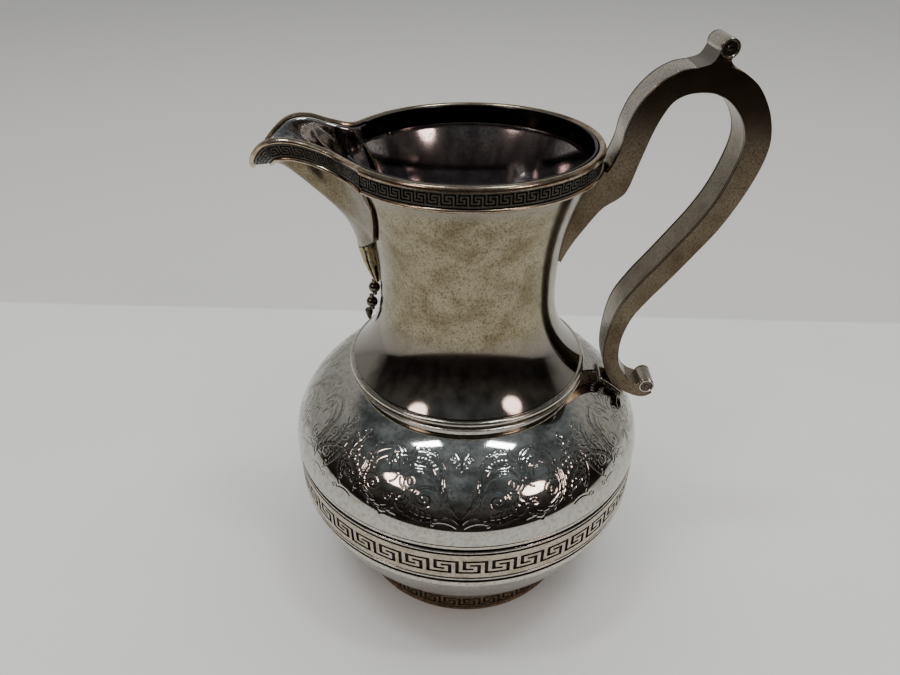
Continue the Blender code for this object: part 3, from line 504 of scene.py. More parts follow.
strokes = [arch, inner_arch, great_scroll, leaf_stem, low_stem, side_stem,
           bow(12.6, 25.4, 27.4, 29.5, 4.6), bow(8.2, 17.2, 22.8, 27.2, 5.0),
           bow(6.4, 12.6, 12.5, 24.0, 2.4), bow(4.6, 8.4, 7.8, 17.4, 1.2),
           curl(16.8, 13.0, 8.6, 1.1, 200, -1.9), curl(16.8, 13.0, 6.6, 2.6, 20, -0.7),
           curl(24.8, 20.5, 3.9, 0.8, 250, 1.4), curl(26.3, 7.0, 3.3, 0.7, 90, -1.4),
           curl(35.6, 30.2, 4.0, 0.8, 130, -1.6), curl(43.2, 13.2, 5.4, 0.9, 30, 1.5),
           bow(33.0, 26.0, 41.0, 33.8, 3.0), bow(41.2, 33.6, 47.6, 19.8, 3.4),
           bow(47.4, 19.4, 40.0, 6.0, 3.1), bow(41.0, 29.2, 44.8, 20.4, 1.8),
           bow(36.4, 22.4, 40.6, 27.6, 1.7), bow(35.0, 17.4, 31.8, 22.6, 1.0),
           curl(57.6, 11.6, 3.6, 0.7, 190, 1.4), curl(54.6, 22.8, 3.3, 0.7, 0, 1.4),
           curl(62.6, 30.8, 4.1, 0.8, 210, -1.5), curl(59.8, 37.2, 2.3, 0.6, 270, 1.2),
           curl(5.0, 36.4, 2.3, 0.6, 300, -1.3), curl(1.9, 32.6, 1.7, 0.5, 100, 1.1),
           bow(0.2, 30.0, 3.6, 39.6, 1.0), bow(0.2, 29.8, 0.4, 37.8, 0.3),
           bow(27.8, 39.4, 33.0, 33.4, -1.5), bow(25.8, 36.8, 30.2, 31.2, -1.2),
           bow(1.0, 1.4, 8.6, 4.4, 1.5), bow(2.0, -0.8, 10.6, 1.2, 1.2),
           curl(11.4, 0.4, 1.9, 0.5, 90, -1.2), bow(28.6, 0.8, 36.0, -0.8, 1.0),
           bow(52.0, 0.4, 60.4, 0.6, 1.4), curl(62.4, 0.2, 1.9, 0.5, 180, -1.2),
           bow(20.4, 29.0, 28.6, 24.0, 1.6), bow(27.0, 16.4, 30.0, 21.6, -1.0)]
# Lobes: their stem, how many, from where to where along it, how long, how they lean and how they bow.
for lobes in ((low_stem, 8, 0.10, 0.95, 6.4, 62, 0.22), (low_stem, 6, 0.25, 0.90, 3.4, -48, -0.22),
              (leaf_stem, 9, 0.05, 0.80, 6.8, 48, 0.22), (leaf_stem, 8, 0.12, 0.90, 5.6, -50, -0.22),
              (inner_arch, 6, 0.62, 0.98, 4.6, -52, -0.20), (side_stem, 6, 0.10, 0.85, 4.6, 52, 0.20),
              (arch, 5, 0.70, 0.98, 3.0, 44, 0.20),
              (great_scroll[40:80], 7, 0.10, 0.95, 3.6, -55, -0.20),
              (great_scroll[66:100], 5, 0.10, 0.90, 3.0, 40, 0.20)):
    strokes += fan(*lobes)
# Shading: the stroke it lies beside, how far off each line is, and from where to where along it.
for shading in ((arch, (-1.0, -1.8, -2.5), 0.12, 0.92), (great_scroll, (-0.9, -1.6), 0.02, 0.50),
                (great_scroll, (-0.9, -1.6), 0.50, 0.93), (leaf_stem, (0.8, 1.5), 0.10, 0.90),
                (low_stem, (0.8, -0.8, -1.5), 0.08, 0.95), (side_stem, (0.8, 1.5), 0.10, 0.90),
                (curl(16.8, 13.0, 8.6, 1.1, 200, -1.9), (0.8, -0.7), 0.05, 0.50),
                (bow(12.6, 25.4, 27.4, 29.5, 4.6), (-0.8, -1.5), 0.05, 0.95),
                (bow(8.2, 17.2, 22.8, 27.2, 5.0), (-0.8, -1.5, -2.2), 0.05, 0.95),
                (bow(41.2, 33.6, 47.6, 19.8, 3.4), (-0.8, -1.5), 0.05, 0.95)):
    strokes += echoes(*shading)
beads = [Vector((3.2 + 1.15 * k, 15.6 + 2.3 * k - 0.07 * k * k)) for k in range(7)]
beads += [Vector((27.6 + 0.8 * k, 14.6 - 1.9 * k)) for k in range(4)]

motif_half = math.pi / MOTIFS * CHART_RADIUS
samples = []
for stroke in strokes:
    for before, after in zip(stroke, stroke[1:]):
        if (after - before).length > 0:
            pieces = max(int((after - before).length / SAMPLE_SPACING), 1)
            along = (after - before).normalized()
            samples += [(before.lerp(after, k / pieces), along) for k in range(pieces)]
chart = kdtree.KDTree(len(samples))
for index, (point, along) in enumerate(samples):
    chart.insert((point.x, point.y, 0), index)
chart.balance()


def furrow(x, y):
    """How deep the chasing is at a place on the chart, from 0 to 1."""
    x = x % (2 * motif_half)
    x = min(x, 2 * motif_half - x)
    depth = 0
    for near, index, distance in chart.find_range((x, y, 0), STROKE_WIDTH * 1.5):
        along = samples[index][1]
        side = along.x * (y - near.y) - along.y * (x - near.x)
        width = STROKE_WIDTH * (0.75 if side > 0 else 1.45)
        depth = max(depth, 1 - distance / width)
    for bead in beads:
        away = math.hypot(x - bead.x, y - bead.y)
        if away < BEAD_WIDTH:
            depth = max(depth, 1 - away / BEAD_WIDTH)
    return depth


fine = [shoulder_point(k / 400) for k in range(401)]
travelled = [0]
for (r0, z0), (r1, z1) in zip(fine, fine[1:]):
    travelled.append(travelled[-1] + math.hypot(r1 - r0, z1 - z0))
frieze_start = next(far for far, (_, height) in zip(travelled, fine) if height >= FRIEZE_LOW)
row_count = round(travelled[-1] / SKIN_ROW)
rows = []
index = 0
for k in range(row_count + 1):
    far = travelled[-1] * k / row_count
    while index < 399 and travelled[index + 1] < far:
        index += 1
    share = (far - travelled[index]) / (travelled[index + 1] - travelled[index])
    (r0, z0), (r1, z1) = fine[index], fine[index + 1]
    tangent = Vector((r1 - r0, z1 - z0)).normalized()
    rows.append((r0 + (r1 - r0) * share, z0 + (z1 - z0) * share, tangent.y, -tangent.x,
                 (far - frieze_start) * 1000))

chased_sterling = silver("chased_sterling", "#bdbbb5", "#a8a397", "#958f82", (0.035, 0.09), 26, 2.2,
                         0.06, bump=0.000003, chased=True)
for quarter in range(SKINS):
    first_angle = -math.pi + quarter * 2 * math.pi / SKINS
    bm = bmesh.new()
    bmesh.ops.create_grid(bm, x_segments=SKIN_COLUMNS, y_segments=row_count, size=0.5)
    cut = bm.verts.layers.float.new("cut")
    for vert in bm.verts:
        radius, height, out_r, out_z, up = rows[round((vert.co.y + 0.5) * row_count)]
        angle = first_angle + 2 * math.pi / SKINS * (vert.co.x + 0.5)
        around = (angle + math.pi / 2) * CHART_RADIUS
        depth = furrow(around, up * FRIEZE_SQUASH) if -3 < up < 38 else 0
        vert[cut] = depth
        radius, height = radius - out_r * STROKE_DEPTH * depth, height - out_z * STROKE_DEPTH * depth
        vert.co = about_axis(angle, radius, height)
    edge = [item for item in bm.edges if item.is_boundary]
    folded = bmesh.ops.extrude_edge_only(bm, edges=edge)["geom"]
    for vert in only_verts(folded):
        inward = (AXIS - vert.co).xy.normalized() * SKIN_DEPTH * 1.5
        vert.co.x, vert.co.y = vert.co.x + inward.x, vert.co.y + inward.y
    finish_piece("shoulder_quarter_%d" % (quarter + 1), bm, [chased_sterling],
                 ["shoulder"], sharp=80)

collar = [(NECK_BASE_RADIUS, shoulder_high), (NECK_BASE_RADIUS, shoulder_high - COLLAR_HEIGHT)]
sheet_line = [shoulder_point(1 - k / 48) for k in range(49)]
under = [(r - SKIN_DEPTH * (0.4 + 0.6 * min(k / 6, 1)), z - SKIN_DEPTH * (1 - k / 48))
         for k, (r, z) in enumerate(sheet_line)]
shell = spun(collar + under + inner_side(collar + under, WALL - SKIN_DEPTH))
finish_piece("shoulder_lining", shell, [polished_sterling], [])

# ------------------------------------------------------------------ Neck
# One raised sheet that narrows to a waist and flares to the mouth, soldered over the shoulder's collar
# under a half-round moulding. Years of handling left it satin, mottled yellow-brown and freckled.
NECK_WAIST_RADIUS = 0.0442
NECK_TOP_RADIUS = 0.0580
NECK_LOWER_HEIGHT = 0.0450
NECK_UPPER_HEIGHT = 0.0577
NECK_UPPER_POWER = 2
NECK_LOWER_POWER = 2.6
NECK_RING_DEPTH = 0.0026
SPOUT_ANGLE = math.radians(44)
SPOUT_FLARE_DEPTH = 0.0085
THROAT_HALF_WIDTH = 0.0240
THROAT_DEPTH = 0.0400
# Heights between which handling has rubbed the neck bright again, at its foot and under the rim.
NECK_BARE = ((0.176, 0.158), (0.238, 0.246))
ABOVE_RIM = 0.01

neck_base, rim_band_top = levels("neck")
neck_waist = neck_base + NECK_LOWER_HEIGHT
neck_top = neck_waist + NECK_UPPER_HEIGHT
handled_silver = silver("handled_silver", "#9c937c", "#766a50", "#453a28", (0.10, 0.22), 13, 0.9, 0.2,
                        grain=(1, 1, 0.8), pits=1.0, bump=0.000012, bare=NECK_BARE)


def neck_radius(height):
    if height >= neck_top:
        return NECK_TOP_RADIUS
    if height >= neck_waist:
        share = (height - neck_waist) / NECK_UPPER_HEIGHT
        return NECK_WAIST_RADIUS + (NECK_TOP_RADIUS - NECK_WAIST_RADIUS) * share ** NECK_UPPER_POWER
    share = (neck_waist - height) / NECK_LOWER_HEIGHT
    return NECK_WAIST_RADIUS + (NECK_BASE_RADIUS - NECK_WAIST_RADIUS) * share ** NECK_LOWER_POWER


def prism(name, outline, low, high, across):
    """A closed prism used as a cutter, removed once it has been used."""
    bm = bmesh.new()
    place = {"Z": lambda a, b, c: (a, b, c), "X": lambda a, b, c: (c, a, b)}[across]
    face = bm.faces.new([bm.verts.new(place(a, b, low)) for a, b in outline])
    lifted = bmesh.ops.extrude_face_region(bm, geom=[face])["geom"]
    bmesh.ops.translate(bm, vec=Vector(place(0, 0, high - low)),
                        verts=only_verts(lifted))
    bmesh.ops.recalc_face_normals(bm, faces=bm.faces)
    bmesh.ops.translate(bm, vec=AXIS, verts=bm.verts)
    mesh = bpy.data.meshes.new(name)
    bm.to_mesh(mesh)
    bm.free()
    cutter = bpy.data.objects.new(name, mesh)
    bpy.context.scene.collection.objects.link(cutter)
    return cutter


def wedge(name, angle, low, high):
    """A cutter that opens from the axis towards the spout, this angle to each side."""
    far = 3 * NECK_TOP_RADIUS
    side = far * math.tan(angle)
    return prism(name, [(0, 0), (-far, side), (-far, -side)], low, high, "Z")


def cut_away(piece, cutters):
    """Cuts the piece and leaves a plain mesh."""
    for cutter in cutters:
        cut = piece.modifiers.new("Cut", "BOOLEAN")
        cut.operation, cut.solver, cut.object = "DIFFERENCE", "EXACT", cutter
    bpy.context.view_layer.update()
    result = bpy.data.meshes.new_from_object(piece.evaluated_get(bpy.context.evaluated_depsgraph_get()))
    piece.modifiers.clear()
    for material in piece.data.materials:
        if material.name not in result.materials:
            result.materials.append(material)
    piece.data = result
    for cutter in cutters:
        bpy.data.objects.remove(cutter)
    return piece


heights = [rim_band_top, neck_top + 0.0012]
heights += [neck_top - NECK_UPPER_HEIGHT * k / 40 for k in range(40)]
heights += [neck_waist - NECK_LOWER_HEIGHT * (k / 40) ** 0.8 for k in range(41)]
outer_side = [(neck_radius(height), height) for height in heights]
inner_neck = [(radius - WALL, height) for radius, height in reversed(outer_side)]
neck = spun(outer_side + inner_neck)
# The inside was never rubbed: a grey, glossy sulphide film over the silver.
inside_film = silver("inside_film", "#a39b9b", "#857d7d", "#6b6464", (0.08, 0.17), 15, 1.6, 0.14,
                     bump=0.000006)
for face in neck.faces:
    outward = face.calc_center_median() - AXIS
    if face.normal.x * outward.x + face.normal.y * outward.y < 0:
        face.material_index = 1
neck_piece = finish_piece("neck_sheet", neck, [handled_silver, inside_film], ["neck"])
middle = rim_band_top - THROAT_DEPTH + THROAT_HALF_WIDTH
mouth = [(-THROAT_HALF_WIDTH * math.cos(math.pi * k / 40),
          middle - THROAT_HALF_WIDTH * math.sin(math.pi * k / 40)) for k in range(41)]
above = rim_band_top + ABOVE_RIM
mouth += [(THROAT_HALF_WIDTH, above), (-THROAT_HALF_WIDTH, above)]
cut_away(neck_piece, [
    wedge("flare_cutter", SPOUT_ANGLE + 0.005, rim_band_top - SPOUT_FLARE_DEPTH, above),
    prism("throat_cutter", mouth, -2 * NECK_TOP_RADIUS, -NECK_WAIST_RADIUS / 2, "X")])

ring_inner = NECK_BASE_RADIUS - WALL
ring_outer = NECK_BASE_RADIUS + NECK_RING_DEPTH
for node, outer, land in (("neck_fillet", ring_outer, 0), ("neck_ring", ring_outer - 0.0003, 0.0003)):
    low, high = levels(node)
    face = half_round(NECK_BASE_RADIUS, outer, low, high, land, 14)
    section = [(ring_inner, high)] + face[1:-1] + [(ring_inner, low)]
    ring = spun(section)
    finish_piece(node + "_wire", ring, [rubbed_reed], [node])

# ------------------------------------------------------------------ Rim
# A key-pattern strip soldered round the flared mouth between a lower wire and a rolled top wire, with a
# plain strip inside. The wires are rubbed to warm bright metal, the strips have gone nearly black.
RIM_WIRE_DEPTH = 0.0020
RIM_BAND_DEPTH = 0.0010
RIM_KEYS = 51
RIM_RELIEF = 0.00045
RIM_PATTERN = (0.13, 0.90)
RIM_STEPS = 220
LINER_ANGLE = math.radians(26)
LINER_DEPTH = 0.0012
LINER_EDGE = 0.0004
GAP = 0.0003

rim_seam = SPOUT_ANGLE - GAP / NECK_TOP_RADIUS
worn_wire = silver("worn_wire", "#c4b49e", "#9b8266", "#6f5a46", (0.14, 0.3), 7, 1.0, 0.20)
dark_bars = silver("dark_bars", "#4c4841", "#34312b", "#1e1c19", (0.26, 0.42), 5, 0.7, 0.15)
dark_liner = silver("dark_liner", "#191614", "#0e0d0c", "#242120", (0.10, 0.22), 8, 1.5, 0.1)


def part_spun(profile, first, last, steps):
    """Spins a closed profile of (radius, height) from one angle to another, with flat ends."""
    bm = bmesh.new()
    points = [bm.verts.new((radius * math.cos(first), radius * math.sin(first), height))
              for radius, height in profile]
    edges = [bm.edges.new(pair) for pair in zip(points, points[1:] + points[:1])]
    bmesh.ops.spin(bm, geom=points + edges, cent=(0, 0, 0), axis=(0, 0, 1), angle=last - first,
                   steps=steps, use_merge=False, use_duplicate=False)
    bmesh.ops.holes_fill(bm, edges=[edge for edge in bm.edges if edge.is_boundary], sides=0)
    bmesh.ops.recalc_face_normals(bm, faces=bm.faces)
    bmesh.ops.translate(bm, vec=AXIS, verts=bm.verts)
    return bm


rim_first, rim_last = -(math.pi - rim_seam), math.pi - rim_seam
rim_outside = NECK_TOP_RADIUS + GAP
low, high = levels("rim_lower_wire")
under_wire = half_round(rim_outside, rim_outside + RIM_WIRE_DEPTH, low, high)
finish_piece("rim_under_wire", part_spun(under_wire, rim_first, rim_last, RIM_STEPS), [worn_wire],
             ["rim_lower_wire"])
low, high = levels("rim_top_wire")
liner_radius = NECK_TOP_RADIUS - WALL - GAP
crown_middle = (liner_radius + GAP + rim_outside + RIM_WIRE_DEPTH) / 2
crown_half = rim_outside + RIM_WIRE_DEPTH - crown_middle
crown = [(crown_middle - crown_half * math.cos(math.pi * k / 14),
          low + (high - low) * math.sin(math.pi * k / 14) ** 0.8) for k in range(15)]
finish_piece("rim_rolled_wire", part_spun(crown, rim_first, rim_last, RIM_STEPS), [worn_wire],
             ["rim_top_wire"])

band_low, band_high = levels("rim_key_band")
rim_band = round_band(rim_outside + RIM_BAND_DEPTH - RIM_RELIEF, band_low, band_high, rim_first,
                      rim_last - rim_first)
keys = key_strip(RIM_KEYS, *RIM_PATTERN, RIM_RELIEF, rim_band)
give_thickness(finish_piece("rim_key_strip", keys, [dark_bars, black_ground],
                            ["rim_key_band"]), KEY_SHEET)
low, high = levels("rim_liner")
liner_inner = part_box("rim_liner")[1].x - AXIS.x - LINER_DEPTH
lining = [(liner_radius, high), (liner_radius, low), (liner_inner + LINER_EDGE, low),
          (liner_inner, low + LINER_EDGE), (liner_inner, high - LINER_EDGE),
          (liner_inner + LINER_EDGE, high)]
lined = math.pi - LINER_ANGLE
finish_piece("rim_inner_strip", part_spun(lining, -lined, lined, 240), [dark_liner],
             ["rim_liner"])

# ------------------------------------------------------------------ Spout
# A sheet hammered into a trough and soldered over the cut mouth of the neck. The rim's strip and wires
# run on round its lip. Inside it is bright and mirror-like, outside it is as satin and tan as the neck.
SPOUT_REACH = 0.1015
SPOUT_HALF_WIDTH = 0.0179
SPOUT_RISE = 0.0051
SPOUT_DIP = 0.0090
SPOUT_DEPTH = 0.0500
SPOUT_FOOT_PROUD = 0.0072
SPOUT_KEY_LENGTH = 0.00544
TOP_WIRE_HEIGHT = 0.0023
RIM_WIRE_HEIGHT = 0.0019
# The lip from the rim to its tip: share of the way out, of the rim's width, of the half width, of the
# rise and of the dip.
SPOUT_LIP = (
    (0.000, 1.00, 1.00, 0.00, 0.00),
    (0.125, 0.60, 1.00, -0.06, 0.00),
    (0.255, 0.17, 1.00, -0.08, 0.00),
    (0.430, 0.00, 1.00, 0.48, 0.00),
    (0.620, 0.00, 1.00, 1.00, 0.00),
    (0.776, 0.00, 0.95, 0.76, 0.00),
    (0.898, 0.00, 0.70, 0.50, 0.46),
    (0.977, 0.00, 0.31, 0.10, 0.88),
    (1.000, 0.00, 0.00, 0.00, 1.00),
)
# The lower edge: share of its angle, of its depth and of how proud it stands at the keel.
SPOUT_EDGE = (
    (1.00, 0.19, 0.00),
    (1.00, 0.34, 0.00),
    (0.91, 0.51, 0.00),
    (0.785, 0.66, 0.00),
    (0.68, 0.76, 0.00),
    (0.50, 0.845, 0.30),
    (0.33, 0.92, 0.64),
    (0.16, 0.975, 0.91),
    (0.00, 1.00, 1.00),
)
# How each line down the spout leaves the lip, and how it reaches the edge, in shares of its length.
SPOUT_LEAVE = (
    (0.00, 0.00, -0.33), (0.01, 0.04, -0.24), (-0.02, 0.02, -0.27),
    (-0.02, -0.04, -0.27), (-0.02, -0.06, -0.24), (-0.09, -0.07, -0.22),
    (-0.23, -0.06, -0.09), (-0.29, -0.03, 0.06), (-0.31, 0.00, 0.09),
)
SPOUT_ARRIVE = (
    (0.00, 0.00, 0.33), (0.13, -0.01, 0.22), (0.18, -0.03, 0.24),
    (0.17, -0.04, 0.24), (0.15, -0.05, 0.24), (0.10, -0.02, 0.29),
    (0.06, 0.00, 0.33), (0.035, 0.00, 0.37), (0.02, 0.00, 0.40),
)
band_height = band_high - band_low


def smooth_between(points, place):
    """A point on the smooth curve through the points; place counts them from 0."""
    last = len(points) - 1
    index = min(int(place), last - 1)
    share = place - index
    here, after = points[index], points[index + 1]
    before = points[index - 1] if index > 0 else 2 * here - after
    beyond = points[index + 2] if index + 2 <= last else 2 * after - here
    leave, arrive = (after - before) / 2, (beyond - here) / 2
    return (here * (2 * share ** 3 - 3 * share ** 2 + 1) + leave * (share ** 3 - 2 * share ** 2 + share)
            + after * (3 * share ** 2 - 2 * share ** 3) + arrive * (share ** 3 - share ** 2))


def around_neck(angle, radius, height):
    return Vector((-radius * math.cos(angle), radius * math.sin(angle), height))


def lip_points():
    start = around_neck(rim_seam, NECK_TOP_RADIUS - WALL / 2, rim_band_top)
    tip = SPOUT_REACH - RIM_WIRE_DEPTH - 2 * GAP
    points = []
    for out, flare, width, rise, dip in SPOUT_LIP:
        points.append(Vector((-(-start.x + (tip + start.x) * out),
                              SPOUT_HALF_WIDTH * width + (start.y - SPOUT_HALF_WIDTH) * flare,
                              rim_band_top + SPOUT_RISE * rise - SPOUT_DIP * dip)))
    return points


def edge_points():
    points = []
    for turn, down, proud in SPOUT_EDGE:
        height = rim_band_top - SPOUT_DEPTH * down
        radius = neck_radius(height) + GAP + WALL * 0.6 + SPOUT_FOOT_PROUD * proud
        points.append(around_neck(rim_seam * turn, radius, height))
    return points


def spout_line(lip_point, edge_point, leave, arrive, steps=160):
    """One line down the spout as evenly found points, with the way travelled to each."""
    length = (edge_point - lip_point).length
    from_lip = lip_point + Vector((-leave[0], leave[1], leave[2])) * length
    from_edge = edge_point + Vector((-arrive[0], arrive[1], arrive[2])) * length
    points = [lip_point * (1 - t) ** 3 + from_lip * 3 * t * (1 - t) ** 2
              + from_edge * 3 * t ** 2 * (1 - t) + edge_point * t ** 3
              for t in (k / steps for k in range(steps + 1))]
    way = [0]
    for before, after in zip(points, points[1:]):
        way.append(way[-1] + (after - before).length)
    return points, way


def on_line(line, distance):
    points, way = line
    for k in range(len(points) - 1):
        if way[k + 1] >= distance:
            return points[k].lerp(points[k + 1], (distance - way[k]) / (way[k + 1] - way[k]))
    return points[-1]


half_lines = [spout_line(*line) for line in zip(lip_points(), edge_points(), SPOUT_LEAVE, SPOUT_ARRIVE)]
lines = half_lines + [([Vector((p.x, -p.y, p.z)) for p in points], way)
                      for points, way in reversed(half_lines[:-1])]
LINE_STEPS = 10
columns = (len(lines) - 1) * LINE_STEPS
BAND_ROWS = 5
LOWER_ROWS = 30


def spout_rows():
    """Rows of points on the spout's sheet: the band below the lip, then down to the lower edge."""
    rows = []
    for k in range(BAND_ROWS + LOWER_ROWS + 1):
        if k <= BAND_ROWS:
            cross = [on_line(line, band_height * k / BAND_ROWS) for line in lines]
        else:
            share = (k - BAND_ROWS) / LOWER_ROWS
            cross = [on_line(line, band_height + (line[1][-1] - band_height) * share) for line in lines]
        rows.append([smooth_between(cross, column / LINE_STEPS) for column in range(columns + 1)])
    return rows


sheet_rows = spout_rows()


def grid_through(rows):
    """A grid laid through rows of points."""
    bm = bmesh.new()
    across, down = len(rows[0]) - 1, len(rows) - 1
    bmesh.ops.create_grid(bm, x_segments=across, y_segments=down, size=0.5)
    for vert in bm.verts:
        vert.co = rows[round((0.5 - vert.co.y) * down)][round((vert.co.x + 0.5) * across)]
    bmesh.ops.translate(bm, vec=AXIS, verts=bm.verts)
    bm.normal_update()
    bm.faces.ensure_lookup_table()
    return bm


mirror_trough = silver("mirror_trough", "#d8d2cf", "#b8b0ac", "#9b928e", (0.05, 0.12), 14, 1.2, 0.14,
                       bump=0.000006)
spout_silver = silver("spout_silver", "#857b68", "#665b46", "#413723", (0.16, 0.28), 8, 0.8, 0.24,
                      bump=0.00001)
give_thickness(finish_piece("spout_sheet", grid_through(sheet_rows), [spout_silver, mirror_trough],
                            ["spout_shell"]), WALL, offset=0, back_material=1)

# The band's place on the sheet, found from the rows above: a table of points and outward directions.
band_table = []
for column in range(columns + 1):
    before, after = max(column - 1, 0), min(column + 1, columns)
    along = (sheet_rows[0][after] - sheet_rows[0][before]).normalized()
    down = (sheet_rows[1][column] - sheet_rows[0][column]).normalized()
    band_table.append((sheet_rows[0][column], sheet_rows[BAND_ROWS][column],
                       down.cross(along).normalized(), down))
lip_way = [0]
for before, after in zip(band_table, band_table[1:]):
    lip_way.append(lip_way[-1] + ((after[0] + after[1]) / 2 - (before[0] + before[1]) / 2).length)
spout_keys = round(lip_way[-1] / SPOUT_KEY_LENGTH)


def on_band(turn, share, out):
    """A point on the spout's band: turn runs along the lip, share up from its lower edge."""
    far = turn * lip_way[-1]
    index = next((k for k in range(columns - 1) if lip_way[k + 1] >= far), columns - 1)
    part = (far - lip_way[index]) / (lip_way[index + 1] - lip_way[index])
    top, foot, outward, _ = (a.lerp(b, part) for a, b in zip(band_table[index], band_table[index + 1]))
    return foot.lerp(top, share) + outward.normalized() * out


def spout_band(turn, share, height):
    return AXIS + on_band(turn, share, WALL / 2 + GAP + RIM_BAND_DEPTH - RIM_RELIEF + height)


keys = key_strip(spout_keys, *RIM_PATTERN, RIM_RELIEF, spout_band)
give_thickness(finish_piece("spout_key_strip", keys, [dark_bars, black_ground],
                            ["spout_key_band"]), KEY_SHEET)


def closed_tube(rings):
    """A tube through rings of points, closed round and at both ends."""
    bm = grid_through([ring + ring[:1] for ring in rings])
    bmesh.ops.remove_doubles(bm, verts=bm.verts, dist=WELD)
    bmesh.ops.holes_fill(bm, edges=[edge for edge in bm.edges if edge.is_boundary], sides=0)
    bmesh.ops.recalc_face_normals(bm, faces=bm.faces)
    return bm


def lip_wire(name, distance, out, half_out, half_down, node):
    """A wire of oval section that follows the lip, at one distance down from it."""
    rings = []
    for top, foot, outward, down in band_table:
        centre = top + (foot - top) * max(distance, 0) / band_height + outward * out
        centre += down * min(distance, 0)
        rings.append([centre + outward * half_out * math.cos(2 * math.pi * k / 12)
                      + down * half_down * math.sin(2 * math.pi * k / 12) for k in range(12)])
    finish_piece(name, closed_tube(rings), [worn_wire], [node])


lip_half = (RIM_WIRE_DEPTH + GAP + WALL) / 2
lip_wire("spout_rolled_wire", -GAP - TOP_WIRE_HEIGHT / 2, lip_half - WALL / 2, lip_half,
         TOP_WIRE_HEIGHT / 2, "spout_lip_wire")
lip_wire("spout_under_wire", band_height + GAP + RIM_WIRE_HEIGHT / 2,
         WALL / 2 + GAP + RIM_WIRE_DEPTH / 2, RIM_WIRE_DEPTH / 2, RIM_WIRE_HEIGHT / 2,
         "spout_lower_wire")

# ------------------------------------------------------------------ Pendant
# A cast ornament under the spout's keel: a fluted half drop, then two beads and a point. Tan on its
# ridges, with black in the flutes; the beads are handled least and shine darkly.
DROP_LENGTH = 0.0208
DROP_HALF_WIDTH = 0.0110
DROP_TIP_WIDTH = 0.0030
DROP_ROOT = 0.0004
FLUTES = 5
FLUTE_DEPTH = 0.24
FLUTE_BLACK = 0.42
BEAD_RADIUS = 0.0030
BEAD_PITCH = 0.0088
TIP_LENGTH = 0.0075

keel = edge_points()[-1]
drop_silver = silver("drop_silver", "#b3a482", "#8a7a59", "#4a3d28", (0.2, 0.34), 4, 0.7, 0.2)
dark_bead = silver("dark_bead", "#6a6358", "#3f3a33", "#26221d", (0.08, 0.2), 3, 0.8, 0.1)


def drop_top(angle):
    """The height of the spout's lower edge at an angle from the keel."""
    points = edge_points()
    for upper, lower in zip(points[4:], points[5:]):
        turn_a, turn_b = (math.atan2(p.y, -p.x) for p in (upper, lower))
        if turn_b <= angle <= turn_a:
            return lower.z + (upper.z - lower.z) * (angle - turn_b) / (turn_a - turn_b)
    return points[-1].z


def drop_half_width(share):
    return DROP_TIP_WIDTH + (DROP_HALF_WIDTH - DROP_TIP_WIDTH) * (1 - share) ** 1.5


def drop_ring(share, front_steps=80, back_steps=8):
    """One slice of the fluted drop: its front with the flutes, then its back against the neck."""
    bottom = keel.z - DROP_LENGTH
    half_width = drop_half_width(share)
    proud = BEAD_RADIUS + SPOUT_FOOT_PROUD * 0.78 * (1 - share ** 2)
    ring = []
    for k in range(front_steps + 1):
        across = k / front_steps
        turn = math.pi * (across - 0.5)
        flute = 1 - FLUTE_DEPTH * (1 - abs(math.sin(math.pi * FLUTES * across)) ** 0.6)
        angle = half_width * math.sin(turn) * (0.94 + 0.06 * flute) / NECK_WAIST_RADIUS
        top = drop_top(abs(angle)) - 2 * GAP - WALL / 4
        height = top + (bottom - top) * share
        inner = neck_radius(height) + 2 * GAP
        ring.append(around_neck(angle, inner + DROP_ROOT + proud * math.cos(turn) * flute, height))
    for k in range(back_steps + 1):
        angle = half_width * (1 - 2 * k / back_steps) * 0.94 / NECK_WAIST_RADIUS
        top = drop_top(abs(angle)) - 2 * GAP - WALL / 4
        height = top + (bottom - top) * share
        ring.append(around_neck(angle, neck_radius(height) + 2 * GAP, height))
    return ring


drop = closed_tube([drop_ring(k / 24) for k in range(25)])
for face in drop.faces:
    centre = face.calc_center_median() - AXIS
    share = min(max((keel.z - centre.z) / DROP_LENGTH, 0), 1)
    side = math.atan2(centre.y, -centre.x) * NECK_WAIST_RADIUS / drop_half_width(share) / 0.97
    across = math.asin(min(max(side, -1), 1)) / math.pi + 0.5
    if abs(math.sin(math.pi * FLUTES * across)) < FLUTE_BLACK:
        face.material_index = 1
finish_piece("spout_fluted_drop", drop, [drop_silver, black_ground], ["spout_drop"])

height = keel.z - DROP_LENGTH - GAP
link = 0.4 * BEAD_RADIUS
collar_height = (BEAD_PITCH - 2 * BEAD_RADIUS - GAP) / 2
for node in ("drop_bead_upper", "drop_bead_lower"):
    middle = height - BEAD_PITCH / 2
    ball = [(BEAD_RADIUS * math.sin(math.pi * k / 30), middle + BEAD_RADIUS * math.cos(math.pi * k / 30))
            for k in range(4, 27)]
    outline = [(0, middle + BEAD_RADIUS + collar_height), (link, middle + BEAD_RADIUS + collar_height)]
    outline += ball + [(link, middle - BEAD_RADIUS - collar_height),
                       (0, middle - BEAD_RADIUS - collar_height)]
    away = neck_radius(middle - BEAD_RADIUS) + BEAD_RADIUS + GAP
    bead = spun(outline, closed=False, steps=48, centre=AXIS + Vector((-away, 0, 0)))
    finish_piece(node + "_ball", bead, [dark_bead], [node])
    height -= BEAD_PITCH
point = [(0, height), (0.5 * BEAD_RADIUS, height), (0.7 * BEAD_RADIUS, height - 0.0006),
         (0.66 * BEAD_RADIUS, height - TIP_LENGTH * 0.3),
         (0.36 * BEAD_RADIUS, height - TIP_LENGTH * 0.7), (0, height - TIP_LENGTH)]
away = neck_radius(height - TIP_LENGTH) + GAP + 0.5 * BEAD_RADIUS
